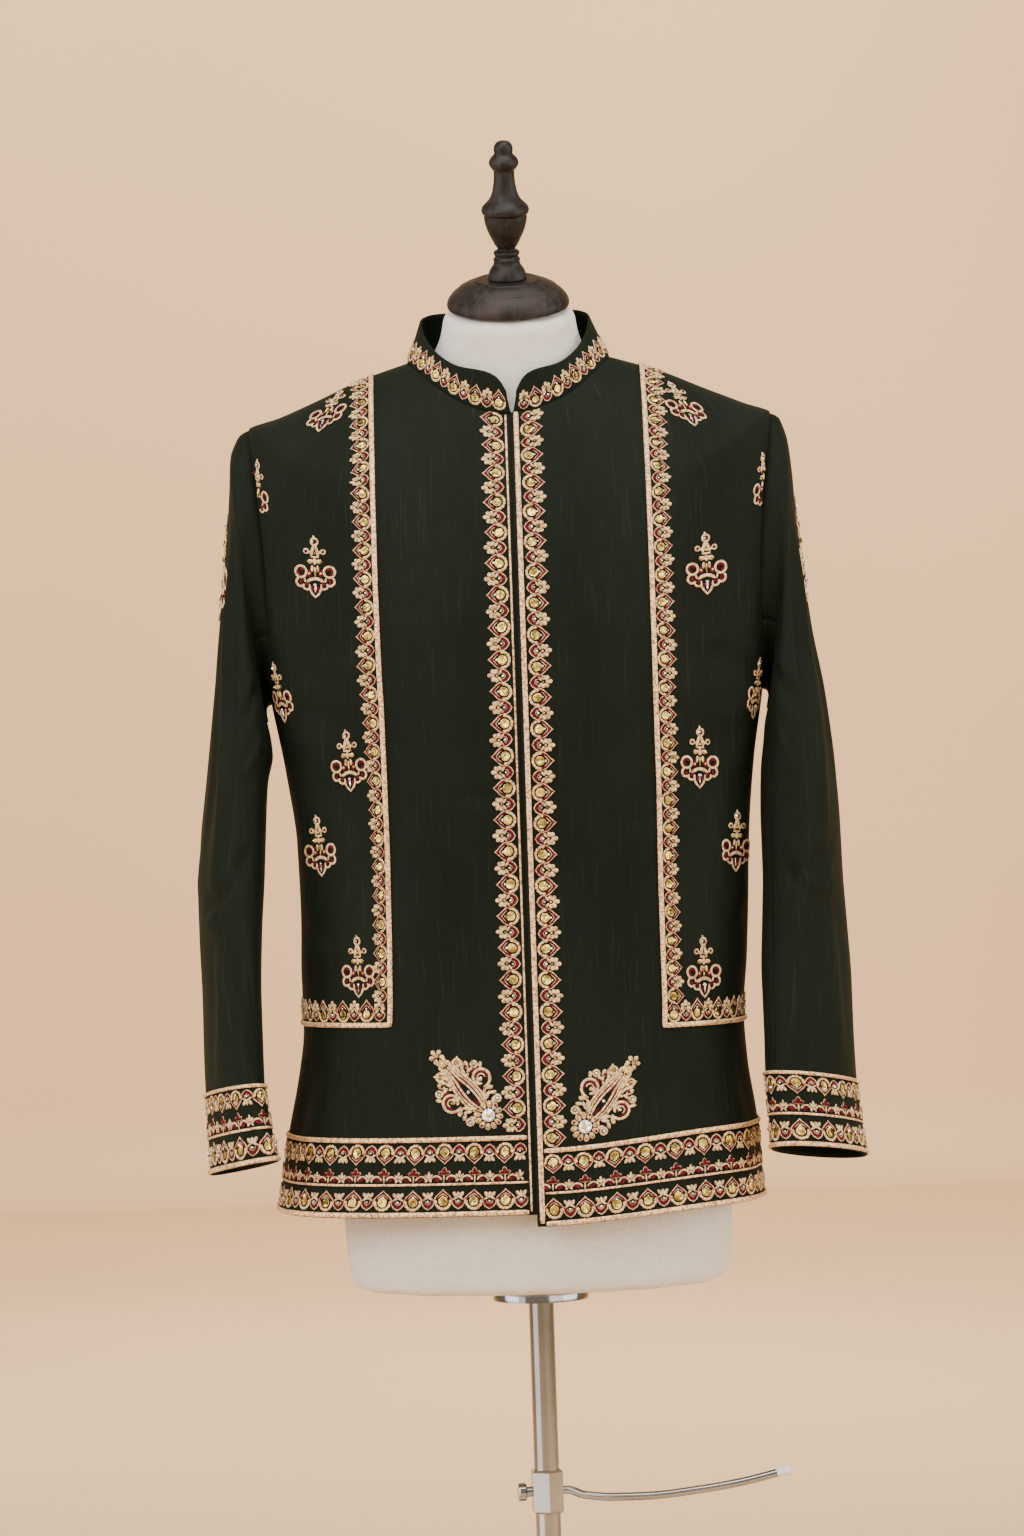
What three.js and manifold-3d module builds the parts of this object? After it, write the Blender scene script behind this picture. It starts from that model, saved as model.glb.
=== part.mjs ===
// An embroidered bandhgala jacket on a limbless dress form with a chrome stand.
// Millimetres, +Z up. The origin is the centre of the base plate's underside, and the front faces -Y.
// "Right" and "left" are the wearer's: right is -X, left is +X.
import * as THREE from "three";
import { mergeVertices } from "three/addons/utils/BufferGeometryUtils.js";
import Module from "manifold-3d";

const wasm = await Module();
wasm.setup();

// Turns rows of numbers into objects with named columns.
function table(columns, rows) {
  const names = columns.split(" ");
  return rows.map((row) => Object.fromEntries(names.map((name, i) => [name, row[i]])));
}

// Jacket: driving sizes
const WALL = 2.0;
const SLEEVE_WALL = 1.6;
const COLLAR_WALL = 2.4;
const SEAM_HALF_GAP = 0.2;
const LAYER_GAP = 0.4;
const OVERLAP_GAP = 0.8;
const HEM = 742;
const ARMPIT = 1182;
const SHOULDER_TIP = 1423;
const NECK_RING = 1477;
const UNDERLAP = 16;
const FRONT_SCOOP = THREE.MathUtils.degToRad(22);
const BACK_SCOOP = THREE.MathUtils.degToRad(30);
const ARMHOLE_STEPS = 9;
const DROP_REACH = 180;
const OVERLAP_EASE = { start: 30, length: 25 };
const JUST_OFF_CENTRE = 1e-6;
const HALVINGS = 40;
const MERGE_DISTANCE = 1e-3;

// Borders: raised bands of thick embroidery
const BAND_BOTTOM = 0.3;
const BAND_TOP = 1.5;
const COLLAR_BAND = { low: 0.07, high: 0.48 };

// Jacket outline: one row for each ring round the body. side, front and back are heights;
// right and left are half widths, fore and aft are depths from the side seams,
// and square is how square the ring is (2 is an ellipse).
const RINGS = table("side front back right left fore aft square", [
  [742, 742, 742, 226, 198, 134, 132, 2.7],
  [809, 809, 809, 214, 194, 129, 129, 2.7],
  [860, 860, 860, 203.5, 187.5, 124, 124, 2.7],
  [900, 900, 900, 199, 185.5, 121, 117, 2.7],
  [950, 950, 950, 199.5, 189.5, 119, 108, 2.7],
  [1000, 1000, 1000, 198.5, 192.5, 119, 102, 2.7],
  [1060, 1060, 1060, 199.5, 195.5, 122, 100, 2.7],
  [1120, 1120, 1120, 207, 201, 127, 105, 2.7],
  [1182, 1182, 1182, 218, 211, 131, 113, 2.7],
  [1240, 1229, 1236, 227, 219, 131, 119, 2.65],
  [1300, 1268, 1288, 231, 223, 129, 121, 2.6],
  [1360, 1304, 1340, 232.5, 225.5, 124, 118, 2.55],
  [1400, 1329, 1374, 232, 226, 118, 111, 2.5],
  [1423, 1345, 1394, 230, 225.5, 113, 105, 2.5],
  [1433, 1359, 1411, 202, 202, 107, 97, 2.4],
  [1448, 1383, 1440, 166, 166, 96, 84, 2.25],
  [1463, 1405, 1466, 132, 131, 85, 72, 2.1],
  [1477, 1424, 1487, 90, 87, 74, 60, 2.0],
]);

// Rows of the panels below the armpit. The wearer's left side hangs lower:
// leftSide and leftCentre are how much, at the side seam and at the front edge.
const LOWER_ROWS = table("height leftSide leftCentre", [
  [742, 0, 10],
  [775, 0, 10],
  [809, 0, 12],
  [855, 2, 9],
  [900, 8, 8],
  [925, 8, 8],
  [975, 4, 4],
  [1025, 0, 0],
  [1075, 0, 0],
  [1125, 0, 0],
  [1182, 0, 0],
]);
const HEM_BAND_ROWS = 2;
const WAIST_BAND_ROW = 4;
const TOP_ROW = LOWER_ROWS.length - 1 + ARMHOLE_STEPS;

// Columns of the panels, as distances across from the centre.
const NECK_COLUMNS = [27.8, 52.9, 72.8, 85.6];
const OUTER_PARTS = [0.25, 0.5, 0.75, 1];
const RIGHT = { side: -1, neck: 90, frame: [119, 144], front: [1.5, 4.5, 13, 20], edge: -UNDERLAP };
const LEFT = { side: 1, neck: 87, frame: [112, 137], front: [1.5, 13, 20], edge: -1 };
const BAND_START = { right: 4.5, left: 1.5 };
const BAND_END = NECK_COLUMNS[0];

// Collar rim: turn is degrees round from the centre front, and inset is how far the rounded
// front corner stands back from the centre.
const COLLAR_RIM = table("turn height inset", [
  [0, 1441, 4.0],
  [4, 1450, 2.8],
  [8.5, 1455.5, 1.2],
  [13, 1459, 0.3],
  [18, 1461.5, 0],
  [36, 1467.5, 0],
  [54, 1480, 0],
  [72, 1497, 0],
  [90, 1512, 0],
  [126, 1522, 0],
  [180, 1526, 0],
]);
const COLLAR_TOP = { right: 78, left: 71, fore: 76, aft: 56 };
const COLLAR_FRONT_COLUMNS = [1.5, 6, 13, 20];
const COLLAR_ROWS = [0, COLLAR_BAND.low, 0.27, COLLAR_BAND.high, 0.74, 1];

// Sleeves: one row for each ring from just past the armhole to the cuff's edge.
// outX, outZ and inX, inZ are the outermost and innermost points, middle and depth place the
// ring along Y, lead swings its front end to the body, and lift raises that end.
const SLEEVE_COLUMNS = "outX outZ inX inZ middle depth lead lift";
const RIGHT_SLEEVE = table(SLEEVE_COLUMNS, [
  [240, 1417, 221.5, 1181, 2, 62, 0, 0],
  [247, 1400, 223, 1177, 2, 65, 0, 0],
  [249.5, 1370, 223, 1171, 2, 68, 2, 0],
  [253.5, 1330, 222, 1165, 2, 72, 4, 0],
  [259, 1285, 220.5, 1158, 1, 75, 7, 0],
  [265.5, 1235, 218.5, 1150, 0, 76.5, 10, 0],
  [271.5, 1180, 217, 1135, -2, 77, 13, 0],
  [279, 1112, 221.5, 1112, -5, 76, 16, 1.5],
  [286, 1066, 224.5, 1066, -9, 74, 18, 3],
  [290, 1024, 227, 1024, -14, 72, 18, 4.5],
  [289.5, 980, 230, 980, -21, 70, 18, 6],
  [288, 931, 231.5, 931, -31, 67.5, 18, 7.5],
  [287.5, 884, 231, 884, -42, 65, 18, 8.5],
  [286.5, 851, 230.5, 852.5, -50, 62, 18, 9],
  [283, 780, 220.5, 787, -66, 58, 18, 9],
]);
const LEFT_SLEEVE = table(SLEEVE_COLUMNS, [
  [234, 1418, 215, 1181, 2, 62, 0, 0],
  [239.5, 1402, 216.5, 1177, 2, 65, 0, 0],
  [243.5, 1372, 216.5, 1171, 2, 68, 2, 0],
  [246.5, 1330, 215, 1165, 2, 72, 4, 0],
  [252, 1285, 213, 1157, 1, 75, 7, 0],
  [257.5, 1235, 210.5, 1148, 0, 76.5, 10, 0],
  [267, 1180, 208.5, 1133, -2, 77, 13, 0],
  [274.5, 1112, 205.5, 1112, -5, 76, 16, 1.5],
  [277, 1066, 203.5, 1066, -9, 74, 18, 3],
  [277.5, 1024, 203.5, 1024, -14, 72, 18, 4.5],
  [279, 980, 201.5, 980, -21, 70, 18, 6],
  [280.5, 931, 199, 931, -31, 67.5, 18, 7.5],
  [280, 884, 199, 884, -42, 65, 18, 8.5],
  [280.5, 844, 198.5, 850.5, -50, 62, 18, 9.5],
  [286, 779, 201, 783, -66, 58, 18, 10.5],
]);
const SLEEVE_SIDES = 18;
const TOP_SLEEVE_HALF = 6;

// Dress form: torso below the chest, symmetric
const FORM_RINGS = table("height half fore aft", [
  [668, 165, 105, 105],
  [700, 170, 110, 112],
  [760, 172, 112, 116],
  [850, 170, 110, 108],
  [950, 163, 104, 92],
  [1050, 165, 106, 88],
  [1150, 180, 114, 96],
]);
const FORM_SQUARE = 2.4;
const FORM_ROWS = [668, 676, 715, 770, 850, 930, 1010, 1080, 1140];
const FORM_BOTTOM = 668;
const FORM_BOTTOM_ROUND = 6;
const FORM_BLEND = { low: 1150, high: 1330 };
const FORM_CLEARANCE = { ridge: 0.5, neck: 5, chest: 12 };
const RIDGE_ROWS = 3;
const EASE_ROWS = 3;

// Neck, wooden cap and finial, on an axis that leans forward
const NECK_LEAN = THREE.MathUtils.degToRad(19);
const NECK_TOP = { y: -20, z: 1521, radius: 57.5 };
const NECK_WAIST = 44;
const NECK_STEPS = 5;
const CAP_LIFT = 0.3;
const CAP_PROFILE = table("radius height", [
  [0, 0],
  [51.5, 0],
  [53.3, 2.5],
  [53.3, 5],
  [51.4, 9.5],
  [48, 13.8],
  [43.6, 17],
  [42.2, 18],
  [40.5, 19.4],
  [35.8, 22],
  [29.6, 23.8],
  [28.4, 24.8],
  [23, 25.2],
  [0, 25.2],
]);
const FINIAL_PROFILE = table("radius height", [
  [0, 0],
  [17.1, 0],
  [16.4, 4.5],
  [14.4, 9.2],
  [11.6, 12.6],
  [11.3, 16],
  [11.3, 17.4],
  [10.2, 19.2],
  [10.2, 20.4],
  [11.1, 21.5],
  [11.1, 24.2],
  [7.5, 25.7],
  [8.0, 27.4],
  [10, 29.8],
  [12.7, 35.4],
  [15.5, 41.1],
  [17.1, 45.7],
  [18.3, 50.6],
  [18.9, 55.6],
  [18.1, 56.2],
  [19.3, 57.1],
  [20.6, 62.2],
  [18.8, 65],
  [13.8, 69.5],
  [11.1, 75.2],
  [10, 80.9],
  [9.1, 86.6],
  [8.9, 95.2],
  [11.6, 98],
  [13, 102],
  [11, 106.6],
  [8.3, 108.9],
  [8.3, 115.2],
  [4.9, 119.7],
  [0, 121.1],
]);

// Stand
const POLE_RADIUS = 11;
const FIT_GAP = 0.3;
const BROKEN_EDGE = 1;
const BASE = { radius: 165, thick: 8, edge: 2 };
const SOCKET = { radius: 17, height: 30 };
const FLANGE = { radius: 42, height: 12 };

// Trouser bar: a bracket that slides on the pole, its knob and the bar
const BRACKET = { flats: 26.3, height: 38, z: 487, chamfer: 2 };
const BAR_TURN = THREE.MathUtils.degToRad(7);
const KNOB = { stem: 3, neck: 4.5, disc: 8, neckLength: 5.5, discLength: 7 };
const BAR_RADIUS = 3.75;
const BAR_ROUTE = table("out up", [
  [0, 0],
  [4, 0],
  [19, -5.2],
  [45, -8.4],
  [77, -9],
  [120, -6],
  [160, -1],
  [190, 5],
]);
const BAR_STEPS = 16;
const BAR_SIDES = 10;
const BAR_TIP = { radius: 4, length: 13 };

const ROUND_SIDES = 24;
const BASE_SIDES = 48;

// Colours and finishes
const MATERIALS = {
  silk: new THREE.MeshStandardMaterial({ color: 0x1f2821, roughness: 0.62, metalness: 0 }),
  gold: new THREE.MeshStandardMaterial({ color: 0xb48a55, roughness: 0.5, metalness: 0.5 }),
  linen: new THREE.MeshStandardMaterial({ color: 0xe6e0d6, roughness: 0.9, metalness: 0 }),
  wood: new THREE.MeshStandardMaterial({ color: 0x3a2c26, roughness: 0.45, metalness: 0 }),
  chrome: new THREE.MeshStandardMaterial({ color: 0xc9ccd0, roughness: 0.15, metalness: 1 }),
  plastic: new THREE.MeshStandardMaterial({ color: 0xdfe6ea, roughness: 0.5, metalness: 0 }),
};

const part = new THREE.Group();

// Adds one named piece.
function add(name, geometry, material, parent = part) {
  const mesh = new THREE.Mesh(geometry, MATERIALS[material]);
  mesh.name = name;
  parent.add(mesh);
  return mesh;
}

// A smooth curve through a table's rows that never overshoots them.
function curve(rows, across, value) {
  const x = rows.map((row) => row[across]);
  const y = rows.map((row) => row[value]);
  const slope = x.slice(1).map((next, i) => (y[i + 1] - y[i]) / (next - x[i]));
  const tangent = x.map((_, i) => {
    const before = slope[Math.max(i - 1, 0)];
    const after = slope[Math.min(i, slope.length - 1)];
    return before * after <= 0 ? 0 : (2 * before * after) / (before + after);
  });
  return (at) => {
    const inside = THREE.MathUtils.clamp(at, x[0], x[x.length - 1]);
    let i = 0;
    while (i < slope.length - 1 && inside > x[i + 1]) i += 1;
    const span = x[i + 1] - x[i];
    const t = (inside - x[i]) / span;
    const start = y[i] * (1 + 2 * t) * (1 - t) ** 2 + tangent[i] * span * t * (1 - t) ** 2;
    const end = y[i + 1] * t * t * (3 - 2 * t) + tangent[i + 1] * span * t * t * (t - 1);
    return start + end;
  };
}

const smooth = (t) => THREE.MathUtils.smoothstep(t, 0, 1);
const mix = (a, b, t) => a + (b - a) * t;
const powered = (value, square) => Math.abs(value) ** (2 / square);
const ringColumns = Object.keys(RINGS[0]);
const ring = Object.fromEntries(ringColumns.map((name) => [name, curve(RINGS, "side", name)]));
const halfWidth = (height, side) => (side < 0 ? ring.right(height) : ring.left(height));

// A point of the jacket's outer face. turn runs round the body from the centre front,
// negative to the wearer's right. Below the hem the wall goes straight down.
function bodyPoint(height, turn) {
  const level = THREE.MathUtils.clamp(height, HEM, NECK_RING);
  const square = ring.square(level);
  const inFront = Math.cos(turn) >= 0;
  const depth = inFront ? -ring.fore(level) : ring.aft(level);
  const centre = inFront ? ring.front(level) : ring.back(level);
  const side = Math.sign(Math.sin(turn));
  return new THREE.Vector3(
    side * halfWidth(level, side) * powered(Math.sin(turn), square),
    depth * powered(Math.cos(turn), square),
    height + (centre - level) * Math.cos(turn) ** 2,
  );
}

// The outward direction of the jacket's face at a point, from points close by.
function bodyNormal(height, turn) {
  const step = { height: 0.5, turn: 0.012 };
  const above = bodyPoint(Math.min(height + step.height, NECK_RING), turn);
  const below = bodyPoint(Math.min(height, NECK_RING) - step.height, turn);
  const east = bodyPoint(height, turn + step.turn);
  const west = bodyPoint(height, turn - step.turn);
  return east.sub(west).cross(above.sub(below)).normalize();
}

// How far round the body a place is that lies across by x at a height.
function turnAt(height, x, face) {
  const level = Math.max(height, HEM);
  const share = Math.min(1, Math.abs(x) / halfWidth(level, Math.sign(x)));
  const turn = Math.asin(share ** (ring.square(level) / 2));
  return Math.sign(x) * (face === "front" ? turn : Math.PI - turn);
}

// Height of the shoulder line, or of the neck ring, above a place across.
function crown(x) {
  if (Math.abs(x) <= halfWidth(NECK_RING, Math.sign(x))) return NECK_RING;
  let low = SHOULDER_TIP;
  let high = NECK_RING;
  for (let i = 0; i < HALVINGS; i += 1) {
    const middle = (low + high) / 2;
    if (halfWidth(middle, Math.sign(x)) > Math.abs(x)) low = middle;
    else high = middle;
  }
  return low;
}

// The panels' outer edge at a row: the side seam, then the armhole, then the shoulder tip.
function outerEdge(row, face) {
  const above = row - (LOWER_ROWS.length - 1);
  if (above <= 0) return { height: LOWER_ROWS[row].height, turn: Math.PI / 2 };
  const angle = Math.PI * (1 - above / ARMHOLE_STEPS);
  const scoop = face === "front" ? FRONT_SCOOP : BACK_SCOOP;
  return {
    height: mix(ARMPIT, SHOULDER_TIP, (1 + Math.cos(angle)) / 2),
    turn: Math.PI / 2 - scoop * Math.sin(angle),
  };
}

// Where a column lies across at a row. A column is a distance across,
// or a part of the way from the frame band to the outer edge.
function columnX(column, row, half, face) {
  if (column.across !== undefined) return half.side * column.across;
  const { height, turn } = outerEdge(row, face);
  const start = Math.abs(turnAt(height, half.side * half.frame[1], "front"));
  const share = powered(Math.sin(mix(start, turn, column.part)), ring.square(height));
  return half.side * halfWidth(height, half.side) * share;
}

// Height of a row at a place across, with the left side's drop.
function rowHeight(row, x, column, half, face) {
  const above = row - (LOWER_ROWS.length - 1);
  if (above <= 0) {
    const { height, leftSide, leftCentre } = LOWER_ROWS[row];
    if (half.side < 0) return height;
    const centre = face === "front" ? leftCentre : 0;
    return height - mix(centre, leftSide, smooth(Math.max(0, x) / DROP_REACH));
  }
  const top = column.part === 1 ? SHOULDER_TIP : crown(columnX(column, TOP_ROW, half, face));
  const share = (1 - Math.cos((Math.PI * above) / ARMHOLE_STEPS)) / 2;
  return mix(ARMPIT, top, share);
}

// One point of a panel with its outward direction, raised by lift.
function panelVertex(column, row, half, face, lift = 0) {
  const x = columnX(column, row, half, face);
  const height = rowHeight(row, x, column, half, face);
  const onShoulder = row === TOP_ROW && Math.abs(x) >= halfWidth(NECK_RING, half.side);
  const placeX = x || half.side * JUST_OFF_CENTRE;
  const turn = onShoulder ? (half.side * Math.PI) / 2 : turnAt(height, placeX, face);
  const normal = bodyNormal(height, turn);
  return { point: bodyPoint(height, turn).addScaledVector(normal, lift), normal, turn };
}

const across = (distance) => ({ across: distance });
const outerColumns = OUTER_PARTS.map((part) => ({ part }));
const shared = (half) => [...NECK_COLUMNS, half.neck, ...half.frame].map(across);

// Columns of half the back from the centre to the side, and of a front in the grid's order.
const backColumns = (half) => [...shared(half), ...outerColumns];
function frontColumns(half) {
  const columns = [across(half.edge), ...half.front.map(across), ...backColumns(half)];
  return half.side < 0 ? columns.reverse() : columns;
}

// The left front lies over the right one along the centre.
function overlapLift(distance) {
  return (WALL + OVERLAP_GAP) * (1 - smooth((distance - OVERLAP_EASE.start) / OVERLAP_EASE.length));
}

// A grid of vertices, one list for each column, running toward the wearer's left in front
// and on round the body.
function frontGrid(half, columns) {
  return columns.map((column) => {
    const lift = half.side > 0 && column.across !== undefined ? overlapLift(column.across) : 0;
    return Array.from({ length: TOP_ROW + 1 }, (_, row) => panelVertex(column, row, half, "front", lift));
  });
}

function backGrid() {
  const rows = (column, half) =>
    Array.from({ length: TOP_ROW + 1 }, (_, row) => panelVertex(column, row, half, "back"));
  const right = backColumns(RIGHT).map((column) => rows(column, RIGHT));
  const left = backColumns(LEFT).map((column) => rows(column, LEFT));
  return [...left.reverse(), rows(across(0), LEFT), ...right];
}

// Moves an edge of a grid inward by half a seam's gap.
function moveToward(vertex, neighbour, distance) {
  const way = neighbour.point.clone().sub(vertex.point).normalize();
  vertex.point.addScaledVector(way, distance);
}

function trimSeams(grid, { first = false, last = false, top = false }) {
  const end = grid.length - 1;
  const rows = grid[0].length - 1;
  if (top) grid.forEach((column) => moveToward(column[rows], column[rows - 1], SEAM_HALF_GAP));
  if (first) grid[0].forEach((vertex, j) => moveToward(vertex, grid[1][j], SEAM_HALF_GAP));
  if (last) grid[end].forEach((vertex, j) => moveToward(vertex, grid[end - 1][j], SEAM_HALF_GAP));
  return grid;
}

// Makes a geometry from triangles of points: merges shared points, drops
// triangles with no area and turns the faces outward.
function solidFromTriangles(triangles) {
  const flat = triangles.flat().flatMap((p) => [p.x, p.y, p.z]);
  const loose = new THREE.BufferGeometry();
  loose.setAttribute("position", new THREE.Float32BufferAttribute(flat, 3));
  const merged = mergeVertices(loose, MERGE_DISTANCE);
  const source = merged.getIndex().array;
  const kept = [];
  for (let i = 0; i < source.length; i += 3) {
    const [a, b, c] = [source[i], source[i + 1], source[i + 2]];
    if (a !== b && b !== c && c !== a) kept.push([a, b, c]);
  }
  const at = (i) => new THREE.Vector3().fromBufferAttribute(merged.getAttribute("position"), i);
  const volume = kept.reduce((sum, [a, b, c]) => sum + at(a).dot(at(b).cross(at(c))), 0);
  merged.setIndex(kept.flatMap(([a, b, c]) => (volume < 0 ? [a, c, b] : [a, b, c])));
  merged.computeVertexNormals();
  return merged;
}

// A closed wall between two offsets from a grid, over the cells that inside(i, j) picks.
function wall(grid, from, to, inside = () => true) {
  const triangles = [];
  const quad = (a, b, c, d) => triangles.push([a, b, c], [a, c, d]);
  const place = (i, j, offset) => grid[i][j].point.clone().addScaledVector(grid[i][j].normal, offset);
  const columns = grid.length - 1;
  const rows = grid[0].length - 1;
  const has = (i, j) => i >= 0 && j >= 0 && i < columns && j < rows && inside(i, j);
  for (let i = 0; i < columns; i += 1) {
    for (let j = 0; j < rows; j += 1) {
      if (!has(i, j)) continue;
      const corners = [[i, j], [i + 1, j], [i + 1, j + 1], [i, j + 1]];
      const outer = corners.map(([a, b]) => place(a, b, to));
      const inner = corners.map(([a, b]) => place(a, b, from));
      quad(...outer);
      triangles.push([inner[0], inner[2], inner[1]], [inner[0], inner[3], inner[2]]);
      const next = [[i, j - 1], [i + 1, j], [i, j + 1], [i - 1, j]];
      next.forEach(([a, b], k) => {
        if (has(a, b)) return;
        const end = (k + 1) % 4;
        if (k < 2) quad(outer[k], inner[k], inner[end], outer[end]);
        else quad(inner[k], inner[end], outer[end], outer[k]);
      });
    }
  }
  return solidFromTriangles(triangles);
}

// Fronts with their borders. near(i) and far(i) are how far across a cell's sides lie.
function addFront(name, half) {
  const columns = frontColumns(half);
  const left = half.side > 0;
  const grid = trimSeams(frontGrid(half, columns), { first: !left, last: left, top: true });
  add(`front_${name}`, wall(grid, -WALL, 0), "silk");
  const place = columns.map((column) => (column.across === undefined ? Infinity : column.across));
  const near = (i) => Math.min(place[i], place[i + 1]);
  const far = (i) => Math.max(place[i], place[i + 1]);
  const start = BAND_START[name];
  const border = (i, j) => near(i) >= start && (j < HEM_BAND_ROWS || far(i) <= BAND_END);
  add(`border_front_${name}`, wall(grid, BAND_BOTTOM, BAND_TOP, border), "gold");
  const [inner, outer] = half.frame;
  const frame = (i, j) =>
    j >= WAIST_BAND_ROW && near(i) >= inner && (far(i) <= outer || j === WAIST_BAND_ROW);
  add(`frame_front_${name}`, wall(grid, BAND_BOTTOM, BAND_TOP, frame), "gold");
}

// Back with its borders. Its grid runs from the left side seam to the right one.
function addBack() {
  const grid = trimSeams(backGrid(), { first: true, last: true, top: true });
  add("back", wall(grid, -WALL, 0), "silk");
  add("border_hem_back", wall(grid, BAND_BOTTOM, BAND_TOP, (_, j) => j < HEM_BAND_ROWS), "gold");
  const cells = grid.length - 1;
  const reach = outerColumns.length + 1;
  const frame = (fromEdge, j) =>
    j >= WAIST_BAND_ROW && (fromEdge === reach - 1 || (fromEdge < reach && j === WAIST_BAND_ROW));
  const left = (i, j) => frame(i, j);
  const right = (i, j) => frame(cells - 1 - i, j);
  add("frame_back_left", wall(grid, BAND_BOTTOM, BAND_TOP, left), "gold");
  add("frame_back_right", wall(grid, BAND_BOTTOM, BAND_TOP, right), "gold");
}

// Outward directions of a grid from its neighbours. centre(j) is inside row j's ring.
function gridNormals(points, closed, centre) {
  const count = points.length;
  const rows = points[0].length;
  const column = (i) => points[closed ? (i + count) % count : THREE.MathUtils.clamp(i, 0, count - 1)];
  return points.map((list, i) =>
    list.map((point, j) => {
      const along = column(i + 1)[j].clone().sub(column(i - 1)[j]);
      const up = list[Math.min(j + 1, rows - 1)].clone().sub(list[Math.max(j - 1, 0)]);
      const normal = along.cross(up).normalize();
      const outward = point.clone().sub(centre(j));
      return normal.dot(outward) < 0 ? normal.negate() : normal;
    }),
  );
}

// Collar: a stand wall from the neck ring up to the rim, open at the centre front
const rimHeight = curve(COLLAR_RIM, "turn", "height");
const rimInset = curve(COLLAR_RIM, "turn", "inset");

function collarColumn(half, distance, face) {
  const turn = turnAt(NECK_RING, half.side * distance, face);
  const foot = bodyPoint(NECK_RING, turn).add(new THREE.Vector3(0, 0, BAND_BOTTOM));
  const degrees = THREE.MathUtils.radToDeg(Math.abs(turn));
  const wide = half.side < 0 ? COLLAR_TOP.right : COLLAR_TOP.left;
  const deep = face === "front" ? COLLAR_TOP.fore : COLLAR_TOP.aft;
  const rim = new THREE.Vector3(
    half.side * (wide * Math.abs(Math.sin(turn)) + rimInset(degrees)),
    -deep * Math.cos(turn),
    rimHeight(degrees),
  );
  return COLLAR_ROWS.map((share) => foot.clone().lerp(rim, share));
}

function addCollar() {
  const front = (half) => {
    const distances = [...COLLAR_FRONT_COLUMNS, ...NECK_COLUMNS, half.neck];
    return distances.map((distance) => collarColumn(half, distance, "front"));
  };
  const back = (half) => NECK_COLUMNS.map((distance) => collarColumn(half, distance, "back")).reverse();
  const centreBack = collarColumn(LEFT, JUST_OFF_CENTRE, "back");
  const right = [...front(RIGHT), ...back(RIGHT)];
  const left = [...front(LEFT), ...back(LEFT)];
  const points = [...right, centreBack, ...left.reverse()];
  const normals = gridNormals(points, false, (j) => new THREE.Vector3(0, 0, points[0][j].z));
  const grid = points.map((list, i) => list.map((point, j) => ({ point, normal: normals[i][j] })));
  add("collar", wall(grid, -COLLAR_WALL, 0), "silk");
  const band = (i, j) => COLLAR_ROWS[j] >= COLLAR_BAND.low && COLLAR_ROWS[j + 1] <= COLLAR_BAND.high;
  add("border_collar", wall(grid, BAND_BOTTOM, BAND_TOP, band), "gold");
}

// Sleeves: empty tubes that start at the armhole. Column 0 is at the shoulder tip,
// and the columns run round by the front to the armpit and back up behind.
function armholeVertex(half, k) {
  const steps = k <= ARMHOLE_STEPS ? ARMHOLE_STEPS - k : k - ARMHOLE_STEPS;
  const face = k <= ARMHOLE_STEPS ? "front" : "back";
  const row = LOWER_ROWS.length - 1 + steps;
  const { point, normal } = panelVertex({ part: 1 }, row, half, face);
  const tip = half.side * halfWidth(SHOULDER_TIP, half.side);
  const middle = new THREE.Vector3(tip, 0, (ARMPIT + SHOULDER_TIP) / 2);
  const away = middle.sub(point);
  away.addScaledVector(normal, -away.dot(normal)).normalize();
  return { point: point.addScaledVector(away, LAYER_GAP), normal };
}

function sleeveGrid(half, rows) {
  const mouth = Array.from({ length: SLEEVE_SIDES }, (_, k) => armholeVertex(half, k));
  const centres = rows.map(
    (row) => new THREE.Vector3((half.side * (row.outX + row.inX)) / 2, row.middle, (row.outZ + row.inZ) / 2),
  );
  const points = mouth.map((start, k) => {
    const angle = (2 * Math.PI * k) / SLEEVE_SIDES;
    const rings = rows.map((row, j) => {
      const reach = (row.outX - row.inX) / 2;
      const outward = Math.sqrt(reach ** 2 - row.lead ** 2);
      const point = centres[j].clone();
      point.x += half.side * (outward * Math.cos(angle) - row.lead * Math.sin(angle));
      point.y -= row.depth * Math.sin(angle);
      point.z += ((row.outZ - row.inZ) / 2) * Math.cos(angle) + row.lift * Math.sin(angle);
      return point;
    });
    return [start.point, ...rings];
  });
  const normals = gridNormals(points, true, (j) => centres[Math.max(j - 1, 0)]);
  return points.map((list, i) =>
    list.map((point, j) => ({ point, normal: j === 0 ? mouth[i].normal : normals[i][j] })),
  );
}

function addSleeve(name, half, rows) {
  const grid = sleeveGrid(half, rows);
  const copy = ({ point, normal }) => ({ point: point.clone(), normal });
  const stretch = (from, count) =>
    Array.from({ length: count + 1 }, (_, i) => grid[(from + i + SLEEVE_SIDES) % SLEEVE_SIDES].map(copy));
  const pieces = {
    top: stretch(-TOP_SLEEVE_HALF, 2 * TOP_SLEEVE_HALF),
    under: stretch(TOP_SLEEVE_HALF, SLEEVE_SIDES - 2 * TOP_SLEEVE_HALF),
  };
  Object.entries(pieces).forEach(([piece, cells]) => {
    trimSeams(cells, { first: true, last: true });
    add(`sleeve_${name}_${piece}`, wall(cells, -SLEEVE_WALL, 0), "silk");
    const cuff = (_, j) => j === rows.length - 1;
    add(`border_cuff_${name}_${piece}`, wall(cells, BAND_BOTTOM, BAND_TOP, cuff), "gold");
  });
}

// Dress form: one smooth solid whose shoulders follow the jacket's inside
const formSizes = ["half", "fore", "aft"];
const formRing = Object.fromEntries(
  formSizes.map((name) => [name, curve(FORM_RINGS, "height", name)]),
);

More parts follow.
